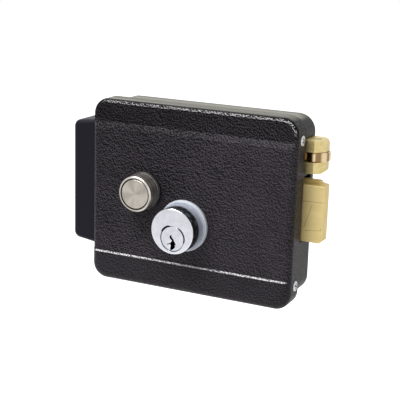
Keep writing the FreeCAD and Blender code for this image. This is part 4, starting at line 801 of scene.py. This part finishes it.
def makeWindingTree():
    # copper wire wound in touching turns round an inner body, once at each end of a row
    tree, given, result = geometryTree("windWire", [
        ("Outer Radius", "Float"), ("Wire Radius", "Float"), ("Height", "Float"), ("Spacing", "Float"),
        ("Place", "Vector"), ("Finish", "Material")])
    path = mathNode(tree, "SUBTRACT", given["Outer Radius"], given["Wire Radius"])
    travel = mathNode(tree, "MULTIPLY_ADD", given["Wire Radius"], -2.0, given["Height"])
    turns = mathNode(tree, "DIVIDE", travel, mathNode(tree, "MULTIPLY", given["Wire Radius"], 2.0))
    spiral = addNode(tree, "GeometryNodeCurveSpiral", {
        "Resolution": 40, "Rotations": turns, "Start Radius": path, "End Radius": path,
        "Height": travel}).outputs[0]
    wire = addNode(tree, "GeometryNodeCurvePrimitiveCircle", {"Resolution": 8, "Radius": given["Wire Radius"]},
                   mode="RADIUS").outputs[0]
    coil = addNode(tree, "GeometryNodeCurveToMesh", {"Curve": spiral, "Profile Curve": wire,
                                                     "Fill Caps": True}).outputs[0]
    coil = moved(tree, coil, translation=vectorOf(tree, z=mathNode(tree, "MULTIPLY", travel, -0.5)))
    inner = addNode(tree, "GeometryNodeMeshCylinder", {
        "Vertices": 64, "Radius": path, "Depth": given["Height"]}).outputs["Mesh"]
    joined = tree.nodes.new("GeometryNodeJoinGeometry")
    for part in (coil, inner):
        feed(tree, part, joined.inputs[0])
    winding = smoothed(tree, joined.outputs[0], 1.2)
    row = addNode(tree, "GeometryNodeMeshLine", {
        "Count": 2, "Start Location": given["Place"], "Offset": vectorOf(tree, x=given["Spacing"])}).outputs[0]
    placed = addNode(tree, "GeometryNodeInstanceOnPoints", {"Points": row, "Instance": winding}).outputs[0]
    finished(tree, result, placed, given["Finish"])
    return tree


# the record's sizes in metres; the dome stands proud of the cover's side, as on the photographed screws
screwLook = {"headRadius": 2.85 * mm, "neckRadius": 1.55 * mm, "sink": 1.3 * mm, "shankRadius": 1.5 * mm,
             "length": 7.0 * mm, "dome": 0.55 * mm, "crossArm": 1.9 * mm, "crossWidth": 0.75 * mm,
             "crossDepth": 0.8 * mm, "seed": 4}
low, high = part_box("cover_screws")
domedScrews = growPiece("domedScrews", makeScrewTree(), {
    "Half Width": high[0], "Half Height": high[2] - screwLook["headRadius"], "Depth": -(low[1] + high[1]) / 2,
    "Head Radius": screwLook["headRadius"], "Neck Radius": screwLook["neckRadius"], "Sink": screwLook["sink"],
    "Shank Radius": screwLook["shankRadius"], "Length": screwLook["length"], "Dome": screwLook["dome"],
    "Cross Arm": screwLook["crossArm"], "Cross Width": screwLook["crossWidth"],
    "Cross Depth": screwLook["crossDepth"], "Seed": screwLook["seed"], "Finish": finishes["cover_screws"]})
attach(domedScrews, "lock")
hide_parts("cover_screws")
print("cover screws set:", len(domedScrews.data.polygons), "faces")

windingLook = {"wireRadius": 0.25 * mm}
low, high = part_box("winding_left")
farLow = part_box("winding_right")[0]
copperWindings = growPiece("copperWindings", makeWindingTree(), {
    "Outer Radius": (high[0] - low[0]) / 2, "Wire Radius": windingLook["wireRadius"], "Height": high[2] - low[2],
    "Spacing": farLow[0] - low[0], "Place": [(low[axis] + high[axis]) / 2 for axis in range(3)],
    "Finish": finishes["winding_left"]})
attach(copperWindings, "lock")
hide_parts("winding_left", "winding_right")
print("windings wound:", len(copperWindings.data.polygons), "faces")

# each coil spring is a copy of its node's shape, put in place of the node


def makeCoil(spring):
    letter = spring["mode"][-1]  # scale_x or scale_y
    along = "xyz".index(letter)
    low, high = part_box(spring["node"])
    middle = [(low[part] + high[part]) / 2 for part in range(3)]
    axis, anchor = [0.0, 0.0, 0.0], list(middle)
    axis[along], anchor[along] = 1.0, spring["fixed_end_" + letter + "_m"]
    name = spring["node"].replace("_spring", "Coil")
    piece = bpy.data.objects.new(name, frame["nodes"][spring["node"]].data.copy())
    piece.data.name = name
    bpy.context.scene.collection.objects.link(piece)
    piece.data.materials.clear()
    piece.data.materials.append(finishes[spring["node"]])
    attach(piece, "lock")
    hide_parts(spring["node"])
    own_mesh(piece)


for joint in frame["joints"]:
    for spring in joint.get("deforming_nodes", []):
        makeCoil(spring)

for name, node in frame["nodes"].items():
    node.data.materials.clear()
    node.data.materials.append(finishes.get(name, zinc))
print("materials on", len(frame["nodes"]), "nodes")


# studio: floor, lamps, world and camera

def seenDirectly(tree):
    # 1 for what the camera sees, straight, in a reflection or through glass
    rays = addNode(tree, "ShaderNodeLightPath").outputs
    mirrored = mathNode(tree, "MAXIMUM", rays["Is Glossy Ray"], rays["Is Transmission Ray"])
    return mathNode(tree, "MAXIMUM", rays["Is Camera Ray"], mirrored)


floorLook = {"size": 6.0, "height": -0.30, "colour": (236, 236, 236), "glow": 0.6,
             "glowStart": 0.15, "glowEnd": 0.9, "roughness": 0.9}
bpy.ops.mesh.primitive_plane_add(size=floorLook["size"], location=(0, 0, floorLook["height"]))
floor = bpy.context.object
floor.name = "studioFloor"
floorFinish = bpy.data.materials.new("studioFloor")
floorFinish.use_nodes = True
floorTree = floorFinish.node_tree
floorShader = floorTree.nodes["Principled BSDF"]
floorShader.inputs["Base Color"].default_value = linear(*floorLook["colour"])
floorShader.inputs["Roughness"].default_value = floorLook["roughness"]
floorShader.inputs["Emission Color"].default_value = (1, 1, 1, 1)
away = lengthOf(floorTree, addNode(floorTree, "ShaderNodeTexCoord").outputs["Object"])
far = ramp(floorTree, away, floorLook["glowStart"], floorLook["glowEnd"], 0.0, 1.0)
# the far glow is for the camera alone, because polished metal would mirror it
direct = addNode(floorTree, "ShaderNodeLightPath").outputs["Is Camera Ray"]
far = mathNode(floorTree, "MULTIPLY", mathNode(floorTree, "MULTIPLY", far, direct), 1 - floorLook["glow"])
feed(floorTree, mathNode(floorTree, "MULTIPLY_ADD", seenDirectly(floorTree), floorLook["glow"], far),
     floorShader.inputs["Emission Strength"])
floor.data.materials.append(floorFinish)

worldLook = {"fill": 0.26, "background": 1.0}
world = bpy.data.worlds.new("studio")
bpy.context.scene.world = world
world.use_nodes = True
worldTree = world.node_tree
level = mathNode(worldTree, "MULTIPLY_ADD", seenDirectly(worldTree), worldLook["background"] - worldLook["fill"],
                 worldLook["fill"])
feed(worldTree, level, worldTree.nodes["Background"].inputs["Strength"])
worldTree.nodes["Background"].inputs["Color"].default_value = (1, 1, 1, 1)


def addLamp(name, place, width, height, power):
    data = bpy.data.lights.new(name, "AREA")
    data.shape = "RECTANGLE"
    data.size = width
    data.size_y = height
    data.energy = power
    lamp = bpy.data.objects.new(name, data)
    bpy.context.scene.collection.objects.link(lamp)
    lamp.location = place
    lamp.rotation_euler = (-Vector(place)).to_track_quat("-Z", "Y").to_euler()


# each lamp's place, width and height in metres, and power in watts; all point at the lock
lampLooks = {"keyLamp": ((-0.42, -0.72, 0.5), 0.34, 0.3, 1.8),
             "topLamp": ((-0.37, 0.0, 0.8), 0.7, 0.22, 5.0),
             "frontLamp": ((-0.1, -0.5, 0.74), 0.4, 0.12, 3.4),
             "sideLamp": ((0.85, -0.45, 0.25), 0.2, 0.6, 0.6)}
for name, (place, width, height, power) in lampLooks.items():
    addLamp(name, place, width, height, power)

cameraLook = {"azimuth": 25.55, "elevation": 14.44, "roll": 1.72, "distance": 0.584,
              "target": (0.00704, -0.034, 0.00262), "lens": 97.5}
cameraData = bpy.data.cameras.new("camera")
cameraData.lens = cameraLook["lens"]
cameraData.clip_start = 0.01
camera = bpy.data.objects.new("camera", cameraData)
bpy.context.scene.collection.objects.link(camera)
azimuth, elevation = math.radians(cameraLook["azimuth"]), math.radians(cameraLook["elevation"])
away = Vector((math.sin(azimuth) * math.cos(elevation), -math.cos(azimuth) * math.cos(elevation),
               math.sin(elevation)))
look = (-away).to_track_quat("-Z", "Y").to_matrix().to_4x4()
spot = Vector(cameraLook["target"]) + away * cameraLook["distance"]
camera.matrix_world = Matrix.Translation(spot) @ look @ Matrix.Rotation(math.radians(cameraLook["roll"]), 4, "Z")
bpy.context.scene.camera = camera
bpy.context.scene.view_settings.view_transform = "Standard"

print("studio ready")
